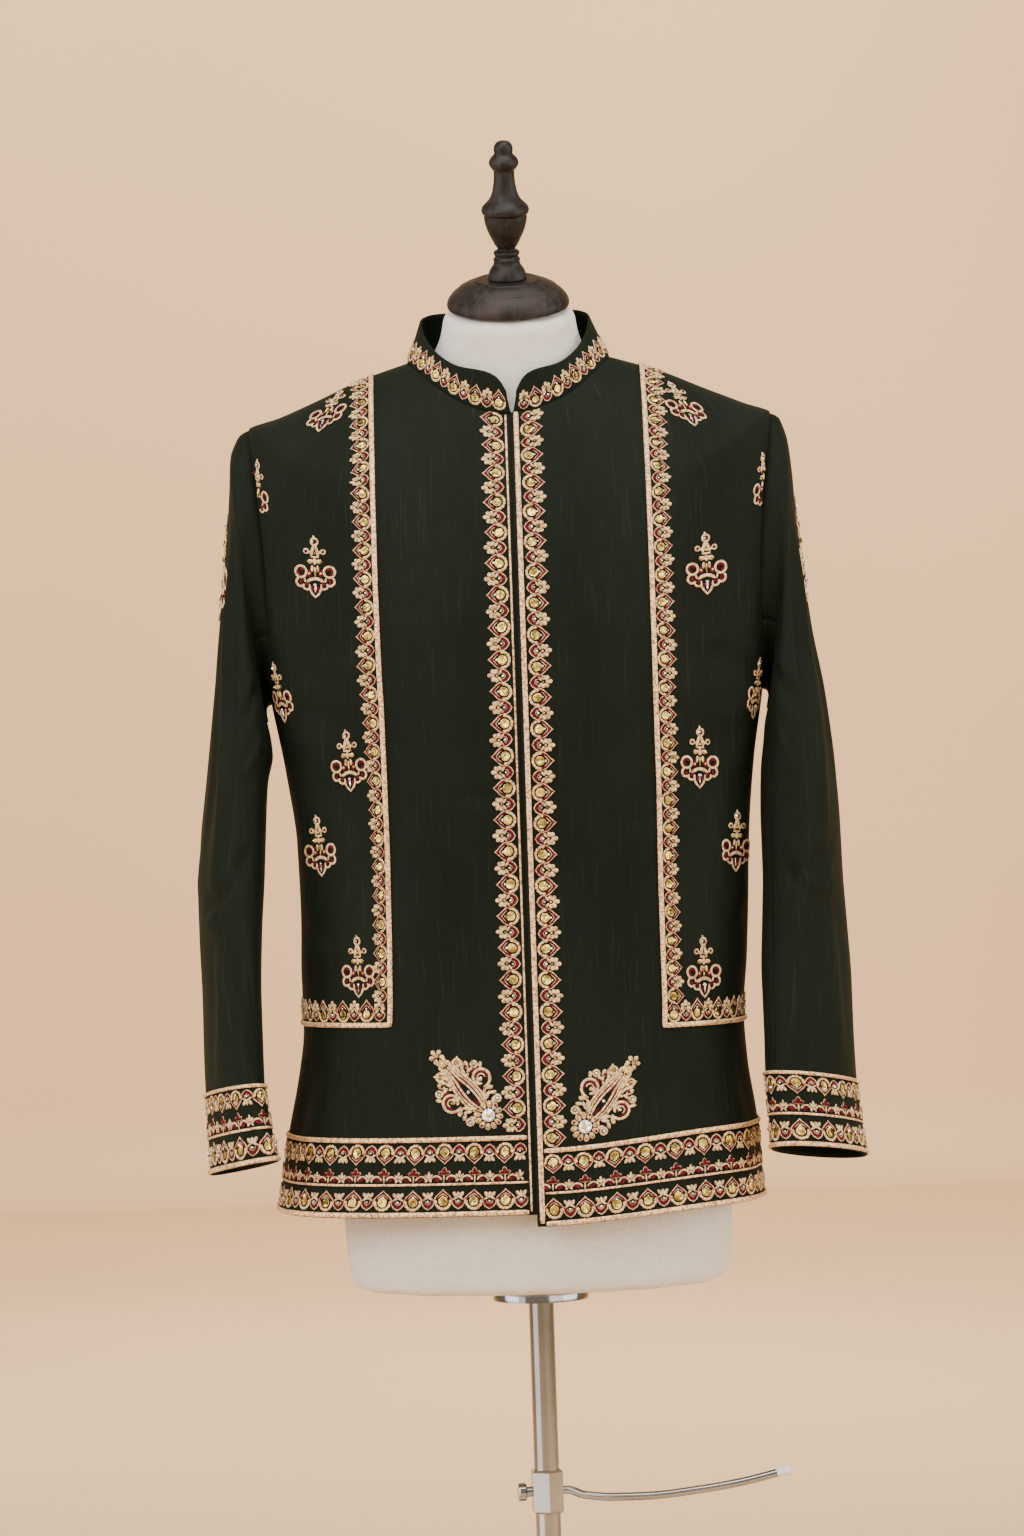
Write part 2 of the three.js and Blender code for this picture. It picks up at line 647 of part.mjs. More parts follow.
function formPoint(height, turn) {
  const depth = Math.cos(turn) >= 0 ? -formRing.fore(height) : formRing.aft(height);
  return new THREE.Vector3(
    Math.sign(Math.sin(turn)) * formRing.half(height) * powered(Math.sin(turn), FORM_SQUARE),
    depth * powered(Math.cos(turn), FORM_SQUARE),
    height,
  );
}

// How far the form lies inside the cloth: close at the shoulders, clear elsewhere.
function formClearance(column, row) {
  const outside = column.across === undefined || column.across >= LEFT.frame[0];
  const below = TOP_ROW - row;
  const ridge = outside ? FORM_CLEARANCE.ridge : FORM_CLEARANCE.neck;
  return mix(ridge, FORM_CLEARANCE.chest, smooth((below - RIDGE_ROWS + 1) / EASE_ROWS));
}

function formUpperPoint(column, row, half, face) {
  const { point, normal, turn } = panelVertex(column, row, half, face);
  point.addScaledVector(normal, -WALL - formClearance(column, row));
  const plain = formPoint(point.z, turn);
  const share = smooth((FORM_BLEND.high - point.z) / (FORM_BLEND.high - FORM_BLEND.low));
  return point.lerp(plain, share);
}

function formColumns() {
  const front = (half) => backColumns(half).map((column) => ({ column, half, face: "front" }));
  const back = (half) => backColumns(half).map((column) => ({ column, half, face: "back" }));
  const middle = (face) => ({ column: across(0), half: LEFT, face });
  return [
    ...front(RIGHT).reverse(), middle("front"), ...front(LEFT),
    ...back(LEFT).reverse(), middle("back"), ...back(RIGHT),
  ];
}

function addForm() {
  const columns = formColumns();
  const armpitRow = LOWER_ROWS.length - 1;
  const turns = columns.map(({ column, half, face }) => panelVertex(column, armpitRow, half, face).turn);
  const lower = FORM_ROWS.map((height) => turns.map((turn) => formPoint(height, turn)));
  const shrink = 1 - FORM_BOTTOM_ROUND / formRing.half(FORM_BOTTOM);
  lower[0].forEach((point) => point.multiply(new THREE.Vector3(shrink, shrink, 1)));
  const upper = Array.from({ length: ARMHOLE_STEPS + 1 }, (_, step) =>
    columns.map(({ column, half, face }) => formUpperPoint(column, armpitRow + step, half, face)),
  );
  const rings = [...lower, ...upper];
  const triangles = [];
  const strip = (low, high) =>
    low.forEach((point, i) => {
      const next = (i + 1) % low.length;
      triangles.push([point, low[next], high[next]], [point, high[next], high[i]]);
    });
  rings.slice(1).forEach((high, j) => strip(rings[j], high));
  const fan = (loop, centre, flip) =>
    loop.forEach((point, i) => {
      const next = loop[(i + 1) % loop.length];
      triangles.push(flip ? [centre, next, point] : [centre, point, next]);
    });
  fan(rings[0], new THREE.Vector3(0, 0, FORM_BOTTOM), true);
  const shoulder = columns.map(({ column }) => column.across === undefined || column.across > RIGHT.neck);
  const isNeck = columns.map(({ column, half, face }, i) => {
    const atPoint = column.across === half.neck;
    return !shoulder[i] && !(atPoint && face === "back");
  });
  const neckOf = (list) => list.filter((_, i) => isNeck[i]);
  const foot = neckOf(rings[rings.length - 1]);
  const topTurns = columns.map(({ column, half, face }) => panelVertex(column, TOP_ROW, half, face).turn);
  const neckTurns = neckOf(topTurns);
  const axis = new THREE.Vector3(0, -Math.sin(NECK_LEAN), Math.cos(NECK_LEAN));
  const forward = new THREE.Vector3(0, -Math.cos(NECK_LEAN), -Math.sin(NECK_LEAN));
  const centre = new THREE.Vector3(0, NECK_TOP.y, NECK_TOP.z);
  const rim = neckTurns.map((turn) =>
    centre
      .clone()
      .addScaledVector(forward, NECK_TOP.radius * Math.cos(turn))
      .add(new THREE.Vector3(NECK_TOP.radius * Math.sin(turn), 0, 0)),
  );
  const loops = Array.from({ length: NECK_STEPS + 1 }, (_, step) => {
    const t = step / NECK_STEPS;
    return foot.map((point, i) => {
      const waist = rim[i].clone().addScaledVector(axis, -NECK_WAIST);
      const lowPart = point.clone().lerp(waist, t);
      return lowPart.lerp(waist.lerp(rim[i], t), t);
    });
  });
  loops.slice(1).forEach((high, j) => strip(loops[j], high));
  fan(loops[NECK_STEPS], centre, false);
  add("form_torso", solidFromTriangles(triangles), "linen");
}

// A turned piece from a profile of radius and height, standing on +Z.
function turned(profile, sides) {
  const points = profile.map(({ radius, height }) => new THREE.Vector2(radius, height));
  return new THREE.LatheGeometry(points, sides).rotateX(Math.PI / 2);
}

function addNeckCap() {
  const lean = new THREE.Group();
  lean.position.set(0, NECK_TOP.y, NECK_TOP.z);
  lean.rotation.x = NECK_LEAN;
  part.add(lean);
  const cap = add("neck_cap", turned(CAP_PROFILE, ROUND_SIDES), "wood", lean);
  cap.position.z = CAP_LIFT;
  const finial = add("finial", turned(FINIAL_PROFILE, ROUND_SIDES), "wood", lean);
  finial.position.z = CAP_LIFT + CAP_PROFILE[CAP_PROFILE.length - 1].height + FIT_GAP;
}

// A ring with a round hole for the pole.
function sleeveRing(radius, low, high) {
  const hole = POLE_RADIUS + FIT_GAP;
  const outer = [[radius, low], [radius, high - BROKEN_EDGE], [radius - BROKEN_EDGE, high]];
  const corners = [[hole, low], ...outer, [hole, high], [hole, low]];
  return turned(corners.map(([r, height]) => ({ radius: r, height })), ROUND_SIDES);
}

function addStand() {
  const { radius, thick, edge } = BASE;
  const rim = [[radius - edge, 0], [radius, edge], [radius, thick - edge], [radius - edge, thick]];
  const plate = [[0, 0], ...rim, [0, thick]];
  add("base_plate", turned(plate.map(([r, height]) => ({ radius: r, height })), BASE_SIDES), "chrome");
  const low = thick + FIT_GAP;
  const high = FORM_BOTTOM - FIT_GAP;
  const pole = [[0, low], [POLE_RADIUS, low], [POLE_RADIUS, high], [0, high]];
  add("pole", turned(pole.map(([r, height]) => ({ radius: r, height })), ROUND_SIDES), "chrome");
  add("pole_socket", sleeveRing(SOCKET.radius, low, low + SOCKET.height), "chrome");
  add("bottom_flange", sleeveRing(FLANGE.radius, high - FLANGE.height, high), "chrome");
}

// Turns a closed geometry into a solid that can be joined or cut, and back.
function toSolid(geometry) {
  const bare = geometry.clone();
  bare.deleteAttribute("normal");
  bare.deleteAttribute("uv");
  const merged = mergeVertices(bare, MERGE_DISTANCE);
  const vertProperties = new Float32Array(merged.getAttribute("position").array);
  const triVerts = new Uint32Array(merged.getIndex().array);
  return new wasm.Manifold(new wasm.Mesh({ numProp: 3, vertProperties, triVerts }));
}

function fromSolid(solid) {
  const { vertProperties, triVerts } = solid.getMesh();
  const geometry = new THREE.BufferGeometry();
  geometry.setAttribute("position", new THREE.BufferAttribute(vertProperties, 3));
  geometry.setIndex(new THREE.BufferAttribute(triVerts, 1));
  geometry.computeVertexNormals();
  return geometry;
}

// A cylinder that lies along X from one distance out to another.
function rod(radius, from, to, sides) {
  const geometry = new THREE.CylinderGeometry(radius, radius, to - from, sides).rotateZ(-Math.PI / 2);
  return geometry.translate((from + to) / 2, 0, 0);
}

// Bracket on the pole: a chamfered hexagon with a bore for the pole and a hole for the knob's stem
function addTrouserBar() {
  const swing = new THREE.Group();
  swing.position.z = BRACKET.z;
  swing.rotation.z = BAR_TURN;
  part.add(swing);
  const corner = BRACKET.flats / 2 / Math.cos(Math.PI / 6);
  const half = BRACKET.height / 2;
  const { chamfer } = BRACKET;
  const outline = [[0, -half], [corner - chamfer, -half], [corner, chamfer - half]];
  const mirrored = outline.map(([r, height]) => [r, -height]).reverse();
  const block = turned([...outline, ...mirrored].map(([r, height]) => ({ radius: r, height })), 6);
  const boreRadius = POLE_RADIUS + FIT_GAP;
  const boreLength = 3 * half;
  const bore = new THREE.CylinderGeometry(boreRadius, boreRadius, boreLength, ROUND_SIDES);
  const stemHole = rod(KNOB.stem + FIT_GAP, -2 * corner, 0, ROUND_SIDES / 2);
  const cut = toSolid(block).subtract(toSolid(bore.rotateX(Math.PI / 2))).subtract(toSolid(stemHole));
  add("bar_bracket", fromSolid(cut), "chrome", swing);

  const face = BRACKET.flats / 2;
  const knobOutline = [
    [0, boreRadius],
    [KNOB.stem, boreRadius],
    [KNOB.stem, face + FIT_GAP],
    [KNOB.neck, face + FIT_GAP],
    [KNOB.neck, face + KNOB.neckLength],
    [KNOB.disc - BROKEN_EDGE, face + KNOB.neckLength],
    [KNOB.disc, face + KNOB.neckLength + BROKEN_EDGE],
    [KNOB.disc, face + KNOB.neckLength + KNOB.discLength - BROKEN_EDGE],
    [KNOB.disc - BROKEN_EDGE, face + KNOB.neckLength + KNOB.discLength],
    [0, face + KNOB.neckLength + KNOB.discLength],
  ];
  const knob = turned(knobOutline.map(([r, height]) => ({ radius: r, height })), ROUND_SIDES);
  add("bar_knob", knob.rotateY(-Math.PI / 2), "chrome", swing);

  const start = face + FIT_GAP;
  const route = BAR_ROUTE.map(({ out, up }) => new THREE.Vector3(start + out, 0, up));
  const path = new THREE.CatmullRomCurve3(route);
  const section = new THREE.Shape().absarc(0, 0, BAR_RADIUS, 0, 2 * Math.PI);
  const settings = { steps: BAR_STEPS, curveSegments: BAR_SIDES / 2, extrudePath: path, bevelEnabled: false };
  const bar = new THREE.ExtrudeGeometry(section, settings);
  add("trouser_bar", bar, "chrome", swing);

  const end = route[route.length - 1];
  const way = path.getTangent(1);
  const tip = add("bar_tip", rod(BAR_TIP.radius, FIT_GAP, BAR_TIP.length, ROUND_SIDES), "plastic", swing);
  tip.position.copy(end);
  tip.quaternion.setFromUnitVectors(new THREE.Vector3(1, 0, 0), way);
}

addFront("right", RIGHT);
addFront("left", LEFT);
addBack();
addSleeve("right", RIGHT, RIGHT_SLEEVE);
addSleeve("left", LEFT, LEFT_SLEEVE);
addCollar();
addForm();
addNeckCap();
addStand();
addTrouserBar();

export default part;
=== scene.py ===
"""An embroidered bandhgala jacket on a limbless dress form with a chrome stand.

Sizes are in millimetres, and a mesh is turned to metres as it is made. The front faces -Y,
and "right" and "left" are the wearer's: right is -X, left is +X.
"""

import math

import bmesh
import bpy
import numpy as np
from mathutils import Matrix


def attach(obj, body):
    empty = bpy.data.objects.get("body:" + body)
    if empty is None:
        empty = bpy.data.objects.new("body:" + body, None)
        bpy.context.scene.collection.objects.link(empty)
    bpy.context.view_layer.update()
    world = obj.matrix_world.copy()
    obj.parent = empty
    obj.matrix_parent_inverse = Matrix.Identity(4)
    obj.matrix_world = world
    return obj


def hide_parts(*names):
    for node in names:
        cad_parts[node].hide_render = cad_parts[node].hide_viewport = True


bl_info = {
    "name": "Bandhgala jacket on a dress form",
    "version": (1, 0, 0),
    "blender": (4, 5, 0),
    "location": "View3D > Sidebar > Jacket",
    "description": "Makes the cloth, the embroidery, the form and its stand round a packed frame",
    "category": "Object",
}

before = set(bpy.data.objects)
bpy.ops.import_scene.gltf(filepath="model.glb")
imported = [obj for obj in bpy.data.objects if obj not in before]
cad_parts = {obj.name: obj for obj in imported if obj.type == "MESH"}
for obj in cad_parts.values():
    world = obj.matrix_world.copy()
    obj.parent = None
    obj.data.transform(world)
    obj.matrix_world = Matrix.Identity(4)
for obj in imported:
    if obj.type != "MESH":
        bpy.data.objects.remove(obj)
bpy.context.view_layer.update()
MM = 0.001


def table(columns, *lines):
    """Rows of numbers as named columns."""
    return dict(zip(columns.split(), np.array(lines, float).T))


# The jacket's outline, one row for each ring round the body. side, front and back are heights,
# right and left half widths, fore and aft depths, and square is how square the ring is.
RINGS = table(
    "side front back right left fore aft square",
    (742, 742, 742, 226, 198, 134, 132, 2.7),
    (809, 809, 809, 214, 194, 129, 129, 2.7),
    (860, 860, 860, 203.5, 187.5, 124, 124, 2.7),
    (900, 900, 900, 199, 185.5, 121, 117, 2.7),
    (950, 950, 950, 199.5, 189.5, 119, 108, 2.7),
    (1000, 1000, 1000, 198.5, 192.5, 119, 102, 2.7),
    (1060, 1060, 1060, 199.5, 195.5, 122, 100, 2.7),
    (1120, 1120, 1120, 207, 201, 127, 105, 2.7),
    (1182, 1182, 1182, 218, 211, 131, 113, 2.7),
    (1240, 1229, 1236, 227, 219, 131, 119, 2.65),
    (1300, 1268, 1288, 231, 223, 129, 121, 2.6),
    (1360, 1304, 1340, 232.5, 225.5, 124, 118, 2.55),
    (1400, 1329, 1374, 232, 226, 118, 111, 2.5),
    (1423, 1345, 1394, 230, 225.5, 113, 105, 2.5),
    (1433, 1359, 1411, 202, 202, 107, 97, 2.4),
    (1448, 1383, 1440, 166, 166, 96, 84, 2.25),
    (1463, 1405, 1466, 132, 131, 85, 72, 2.1),
    (1477, 1424, 1487, 90, 87, 74, 60, 2.0),
)
# Rows of the panels below the armpit, and how much lower the wearer's left side hangs.
LOWER_ROWS = table(
    "height left_side left_centre",
    (742, 0, 10),
    (775, 0, 10),
    (809, 0, 12),
    (855, 2, 9),
    (900, 8, 8),
    (925, 8, 8),
    (975, 4, 4),
    (1025, 0, 0),
    (1075, 0, 0),
    (1125, 0, 0),
    (1182, 0, 0),
)
# The collar's rim: inset is how far its rounded front corner stands back from the centre.
COLLAR_RIM = table(
    "turn height inset",
    (0, 1441, 4.0),
    (4, 1450, 2.8),
    (8.5, 1455.5, 1.2),
    (13, 1459, 0.3),
    (18, 1461.5, 0),
    (36, 1467.5, 0),
    (54, 1480, 0),
    (72, 1497, 0),
    (90, 1512, 0),
    (126, 1522, 0),
    (180, 1526, 0),
)
# The sleeves' rings from just past the armhole to the cuff's edge: outermost and innermost
# points, middle and depth along Y, and how far the front end is swung in and raised.
SLEEVE_COLUMNS = "out_x out_z in_x in_z middle depth lead lift"
SLEEVES = {
    "right": table(
        SLEEVE_COLUMNS,
        (240, 1417, 221.5, 1181, 2, 62, 0, 0),
        (247, 1400, 223, 1177, 2, 65, 0, 0),
        (249.5, 1370, 223, 1171, 2, 68, 2, 0),
        (253.5, 1330, 222, 1165, 2, 72, 4, 0),
        (259, 1285, 220.5, 1158, 1, 75, 7, 0),
        (265.5, 1235, 218.5, 1150, 0, 76.5, 10, 0),
        (271.5, 1180, 217, 1135, -2, 77, 13, 0),
        (279, 1112, 221.5, 1112, -5, 76, 16, 1.5),
        (286, 1066, 224.5, 1066, -9, 74, 18, 3),
        (290, 1024, 227, 1024, -14, 72, 18, 4.5),
        (289.5, 980, 230, 980, -21, 70, 18, 6),
        (288, 931, 231.5, 931, -31, 67.5, 18, 7.5),
        (287.5, 884, 231, 884, -42, 65, 18, 8.5),
        (286.5, 851, 230.5, 852.5, -50, 62, 18, 9),
        (283, 780, 220.5, 787, -66, 58, 18, 9),
    ),
    "left": table(
        SLEEVE_COLUMNS,
        (234, 1418, 215, 1181, 2, 62, 0, 0),
        (239.5, 1402, 216.5, 1177, 2, 65, 0, 0),
        (243.5, 1372, 216.5, 1171, 2, 68, 2, 0),
        (246.5, 1330, 215, 1165, 2, 72, 4, 0),
        (252, 1285, 213, 1157, 1, 75, 7, 0),
        (257.5, 1235, 210.5, 1148, 0, 76.5, 10, 0),
        (267, 1180, 208.5, 1133, -2, 77, 13, 0),
        (274.5, 1112, 205.5, 1112, -5, 76, 16, 1.5),
        (277, 1066, 203.5, 1066, -9, 74, 18, 3),
        (277.5, 1024, 203.5, 1024, -14, 72, 18, 4.5),
        (279, 980, 201.5, 980, -21, 70, 18, 6),
        (280.5, 931, 199, 931, -31, 67.5, 18, 7.5),
        (280, 884, 199, 884, -42, 65, 18, 8.5),
        (280.5, 844, 198.5, 850.5, -50, 62, 18, 9.5),
        (286, 779, 201, 783, -66, 58, 18, 10.5),
    ),
}
HEM = 742
HEM_BAND_TOP = 809
ARMPIT = 1182
SHOULDER_TIP = 1423
NECK_RING = 1477
WALL = 2.0
OVERLAP_GAP = 0.8
OVERLAP_EASE = (30, 25)
SEAM_HALF_GAP = 0.2
SLEEVE_GAP = 0.4
DROP_REACH = 180
SCOOP = {"front": math.radians(22), "back": math.radians(30)}
ARMPIT_ROW = 10
ARMHOLE_ROWS = 9
TOP_ROW = ARMPIT_ROW + ARMHOLE_ROWS
SIDES = {"right": -1, "left": 1}
FRAME_BAND = {"right": (119, 144), "left": (112, 137)}
FRONT_EDGE = {"right": -16, "left": -1}
COLLAR_START = 1.5
COLLAR_TOP = {"right": 78, "left": 71, "fore": 76, "aft": 56}
COLLAR_WALL = 2.0
TOP_SLEEVE_REACH = math.radians(120)
COLLAR_FOOT_GAP = 0.3
# How much cloth of a sleeve one degree round it is, and the rows over which its folds come
# in below the armhole and go out above the cuff.
DEGREE_LENGTH = 1.1
SLEEVE_CALM = {"start": 1, "over": 2.5, "before_end": 0.6, "end_over": 0.8}
# The roll of cloth just past the armhole seam: its height, its row and its spread in rows.
SEAM_ROLL = {"height": 0.9, "row": 0.55, "spread": 0.4}
SLEEVE_STEPS = 600
COLUMN_STEPS = 500
# A fold wanders by a share of its width, has a shoulder of the other sign beside it, and
# runs past its ends by a share of its length while it fades.
FOLD = {"wander": 0.5, "shoulder": 0.4, "away": 1.7, "past": 0.15, "fade": 0.45, "uneven": 0.25}
# The waviness of the whole cloth, and the height above which the cloth lies smooth.
WAVINESS = 0.35
SMOOTH_FROM = 1400
SMOOTH_OVER = 60

# Soft folds of the body: troughs, or ridges where depth is above zero. A fold runs from one
# place to the other, in millimetres round the body from the centre front and in height.
BODY_FOLDS = table(
    "from_x from_z to_x to_z depth width",
    (-196, 1196, -120, 1236, -1.5, 11),
    (-206, 1172, -142, 1158, -1.8, 12),
    (-214, 1140, -158, 1100, -1.2, 13),
    (-190, 1010, -150, 1078, 1.1, 14),
    (-236, 1000, -176, 984, -1.5, 11),
    (-246, 958, -170, 968, 1.2, 12),
    (-60, 1096, -12, 1092, -0.9, 5),
    (-176, 1012, -140, 1050, -1.1, 9),
    (-110, 868, -88, 742, -1.6, 24),
    (-205, 880, -222, 742, -2.6, 20),
    (-166, 872, -160, 742, 2.0, 22),
    (198, 1188, 128, 1222, -1.6, 12),
    (210, 1160, 150, 1140, -1.5, 10),
    (220, 1124, 168, 1088, -1.1, 14),
    (62, 1074, 106, 1070, -0.9, 5),
    (184, 1002, 150, 1058, 1.2, 13),
    (236, 984, 172, 968, -1.4, 12),
    (100, 872, 84, 742, -1.8, 22),
    (202, 884, 214, 742, -2.4, 18),
    (156, 866, 152, 742, 1.8, 20),
    (-300, 1340, -336, 1188, -2.0, 15),
    (300, 1330, 334, 1180, -2.2, 15),
    (-290, 1180, -372, 1150, -1.6, 12),
    (292, 1172, 366, 1136, -1.5, 13),
    (-402, 1016, -482, 1004, -1.8, 10),
    (410, 1034, 476, 1040, -1.5, 9),
    (-470, 1062, -560, 1056, -1.6, 9),
    (-430, 958, -560, 966, 1.4, 12),
    (372, 986, 440, 978, -1.5, 11),
    (-380, 880, -372, 742, 2.6, 24),
    (-450, 868, -448, 742, -2.4, 24),
    (402, 876, 398, 742, 2.4, 25),
    (470, 862, 462, 742, -2.2, 22),
)
# Folds of the sleeves. A place is degrees round from the outer side, positive in front,
# and a height. Every depth is times SLEEVE_FOLD.
SLEEVE_FOLD = 1.4
SLEEVE_FOLDS = {
    "right": table(
        "from_x from_z to_x to_z depth width",
        (38, 1330, 26, 1040, 2.6, 8),
        (52, 1300, 46, 1010, -2.4, 9),
        (14, 1290, 10, 1050, -1.6, 8),
        (78, 1250, 70, 980, 1.6, 10),
        (12, 1010, 84, 1034, -2.6, 7),
        (-8, 996, 40, 988, 2.2, 8),
        (96, 1060, 44, 1024, -1.8, 7),
        (34, 972, 26, 862, 2.2, 9),
        (58, 984, 54, 868, -2.2, 8),
        (84, 960, 88, 862, 1.4, 9),
        (120, 1204, 66, 1158, -2.2, 7),
        (112, 1150, 74, 1118, 1.5, 6),
        (-40, 1310, -52, 1030, 2.0, 10),
        (-70, 1240, -78, 1000, -2.2, 9),
        (-34, 1016, -104, 1042, -2.6, 7),
        (-46, 984, -92, 1004, 1.8, 7),
        (-60, 960, -56, 864, -1.6, 10),
        (-120, 1196, -70, 1160, -2.0, 8),
    ),
    "left": table(
        "from_x from_z to_x to_z depth width",
        (30, 1320, 24, 1060, 2.4, 9),
        (46, 1310, 44, 1000, -2.2, 9),
        (66, 1260, 68, 990, 1.8, 9),
        (4, 1280, 8, 1080, -1.4, 8),
        (20, 1046, 86, 1018, -2.4, 7),
        (-4, 1014, 46, 1004, 1.8, 8),
        (100, 1040, 52, 1000, -2.0, 7),
        (30, 984, 22, 866, 1.8, 9),
        (50, 976, 48, 860, -2.4, 8),
        (78, 966, 80, 860, 1.6, 8),
        (118, 1200, 64, 1164, -2.0, 7),
        (108, 1146, 70, 1106, 1.4, 6),
        (-44, 1300, -50, 1040, 1.8, 10),
        (-72, 1260, -74, 1010, -2.0, 9),
        (-30, 1030, -98, 1022, -2.4, 7),
        (-50, 990, -96, 1010, 1.6, 7),
        (-62, 968, -60, 862, -1.8, 9),
        (-118, 1190, -68, 1166, -1.8, 8),
    ),
}


def length_setting(name, text, value):
    """A length in metres."""
    return bpy.props.FloatProperty(name=name, description=text, default=value, unit="LENGTH")


def colour_setting(name, text, value):
    """A linear colour."""
    return bpy.props.FloatVectorProperty(
        name=name, description=text, default=value, size=3, subtype="COLOR"
    )


class JacketSizes(bpy.types.PropertyGroup):
    """Sizes of the cloth and its embroidery."""

    cloth: length_setting("Cloth", "Thickness of the lined silk", 0.0012)
    cell: length_setting("Cell", "Size of the cloth's mesh cells", 0.0045)
    repeat: length_setting("Repeat", "Length of one border repeat", 0.0268)
    folds: bpy.props.FloatProperty(
        name="Folds",
        description="How deep the folds are, 1 as in the table",
        default=1.0,
        subtype="FACTOR",
    )


class JacketColours(bpy.types.PropertyGroup):
    """Colours of the cloth, its embroidery, the form and the stage."""

    silk: colour_setting("Silk", "Raw silk", (0.0066, 0.0091, 0.0056))
    gold: colour_setting("Gold thread", "Pale thread", (0.94, 0.61, 0.325))
    maroon: colour_setting("Maroon thread", "Dark red thread", (0.14, 0.006, 0.019))
    sequin: colour_setting("Sequin", "Gilt discs", (0.66, 0.48, 0.12))
    linen: colour_setting("Linen", "The form's cover", (0.66, 0.62, 0.56))
    wood: colour_setting("Wood", "Stained wood", (0.009, 0.007, 0.006))
    backdrop: colour_setting("Backdrop", "Floor and wall", (0.76, 0.53, 0.31))


def size_of(name):
    """One of the panel's lengths, in millimetres."""
    return getattr(bpy.context.scene.jacket_sizes, name) / MM


# Curves and the body's surface


def curve(x, y):
    """A function through (x, y) whose pieces are cubics that never overshoot the points."""
    slope = np.diff(y) / np.diff(x)
    before = np.r_[slope[:1], slope]
    after = np.r_[slope, slope[-1:]]
    total = np.where(before * after > 0, before + after, 1)
    tangent = np.where(before * after > 0, 2 * before * after / total, 0)

    def at(value):
        value = np.clip(value, x[0], x[-1])
        i = np.clip(np.searchsorted(x, value) - 1, 0, len(slope) - 1)
        span = x[i + 1] - x[i]
        t = (value - x[i]) / span
        start = y[i] * (1 + 2 * t) * (1 - t) ** 2 + tangent[i] * span * t * (1 - t) ** 2
        return start + y[i + 1] * t * t * (3 - 2 * t) + tangent[i + 1] * span * t * t * (t - 1)

    return at


def smooth(t):
    """3t2 - 2t3 between 0 and 1, flat outside."""
    t = np.clip(t, 0, 1)
    return t * t * (3 - 2 * t)


def mix(a, b, t):
    """a where t is 0, b where it is 1, and in between in proportion."""
    return a + (b - a) * t


def powered(value, square):
    """A sine or cosine raised to 2 / square, as a superellipse has it."""
    return np.abs(value) ** (2 / square)


def unit(vectors):
    """Each vector divided by its length."""
    return vectors / np.maximum(np.linalg.norm(vectors, axis=-1, keepdims=True), 1e-12)


RING = {name: curve(RINGS["side"], RINGS[name]) for name in RINGS}
ROW_INDEX = np.arange(ARMPIT_ROW + 1, dtype=float)
LOWER = {name: curve(ROW_INDEX, LOWER_ROWS[name]) for name in LOWER_ROWS}
RIM_HEIGHT = curve(COLLAR_RIM["turn"], COLLAR_RIM["height"])
RIM_INSET = curve(COLLAR_RIM["turn"], COLLAR_RIM["inset"])


def half_width(level, side):
    """The ring's reach from the centre to the side given by its sign."""
    return np.where(np.asarray(side) < 0, RING["right"](level), RING["left"](level))


def ring_point(height, turn):
    """The body without folds: a superellipse at each level, whose centre runs lower or higher
    than its sides. turn goes round from the centre front, negative to the wearer's right."""
    height, turn = np.broadcast_arrays(np.asarray(height, float), np.asarray(turn, float))
    level = np.clip(height, HEM, NECK_RING)
    square = RING["square"](level)
    front = np.cos(turn) >= 0
    side = np.sign(np.sin(turn))
    depth = np.where(front, -RING["fore"](level), RING["aft"](level))
    centre = np.where(front, RING["front"](level), RING["back"](level))
    x = side * half_width(level, side) * powered(np.sin(turn), square)
    y = depth * powered(np.cos(turn), square)
    return np.stack([x, y, height + (centre - level) * np.cos(turn) ** 2], -1)


def body_normal(height, turn):
    """Outward direction of the body, from points 1 mm apart up and about 2 mm apart across."""
    above = ring_point(np.minimum(height + 0.5, NECK_RING), turn)
    below = ring_point(np.minimum(height, NECK_RING) - 0.5, turn)
    east = ring_point(height, turn + 0.012)
    west = ring_point(height, turn - 0.012)
    return unit(np.cross(east - west, above - below))


GIRTH_HEIGHT = 950
GIRTH_TURNS = np.linspace(-math.pi, math.pi, 1441)


def girth(height):
    """Length round the body at a height, from the centre front, for each of GIRTH_TURNS."""
    points = ring_point(height, GIRTH_TURNS)
    steps = np.linalg.norm(np.diff(points, axis=0), axis=-1)
    length = np.r_[0, np.cumsum(steps)]
    return length - np.interp(0, GIRTH_TURNS, length)


GIRTH = girth(GIRTH_HEIGHT)


def folds(rows, x, z, unit_length=1.0):
    """Sum of soft folds: each is a bell across its line with a shallow shoulder of the other
    sign beside it, fading in and out along the line and uneven on the way."""
    total = np.zeros(np.broadcast(x, z).shape)
    for i in range(len(rows["depth"])):
        width = rows["width"][i]
        start = np.array([rows["from_x"][i] * unit_length, rows["from_z"][i]])
        end = np.array([rows["to_x"][i] * unit_length, rows["to_z"][i]])
        length = np.linalg.norm(end - start)
        way = (end - start) / length
        along = ((x * unit_length - start[0]) * way[0] + (z - start[1]) * way[1]) / length
        off = (x * unit_length - start[0]) * way[1] - (z - start[1]) * way[0]
        e = (off + FOLD["wander"] * width * np.sin(2.3 * along + i)) / width
        bell = np.exp(-e * e) - FOLD["shoulder"] * np.exp(-((e - FOLD["away"]) ** 2))
        fade = smooth((along + FOLD["past"]) / FOLD["fade"])
        fade = fade * smooth((1 + FOLD["past"] - along) / FOLD["fade"])
        uneven = 1 + FOLD["uneven"] * np.sin(5 * along + 2 * i)
        total = total + rows["depth"][i] * bell * fade * uneven
    return total


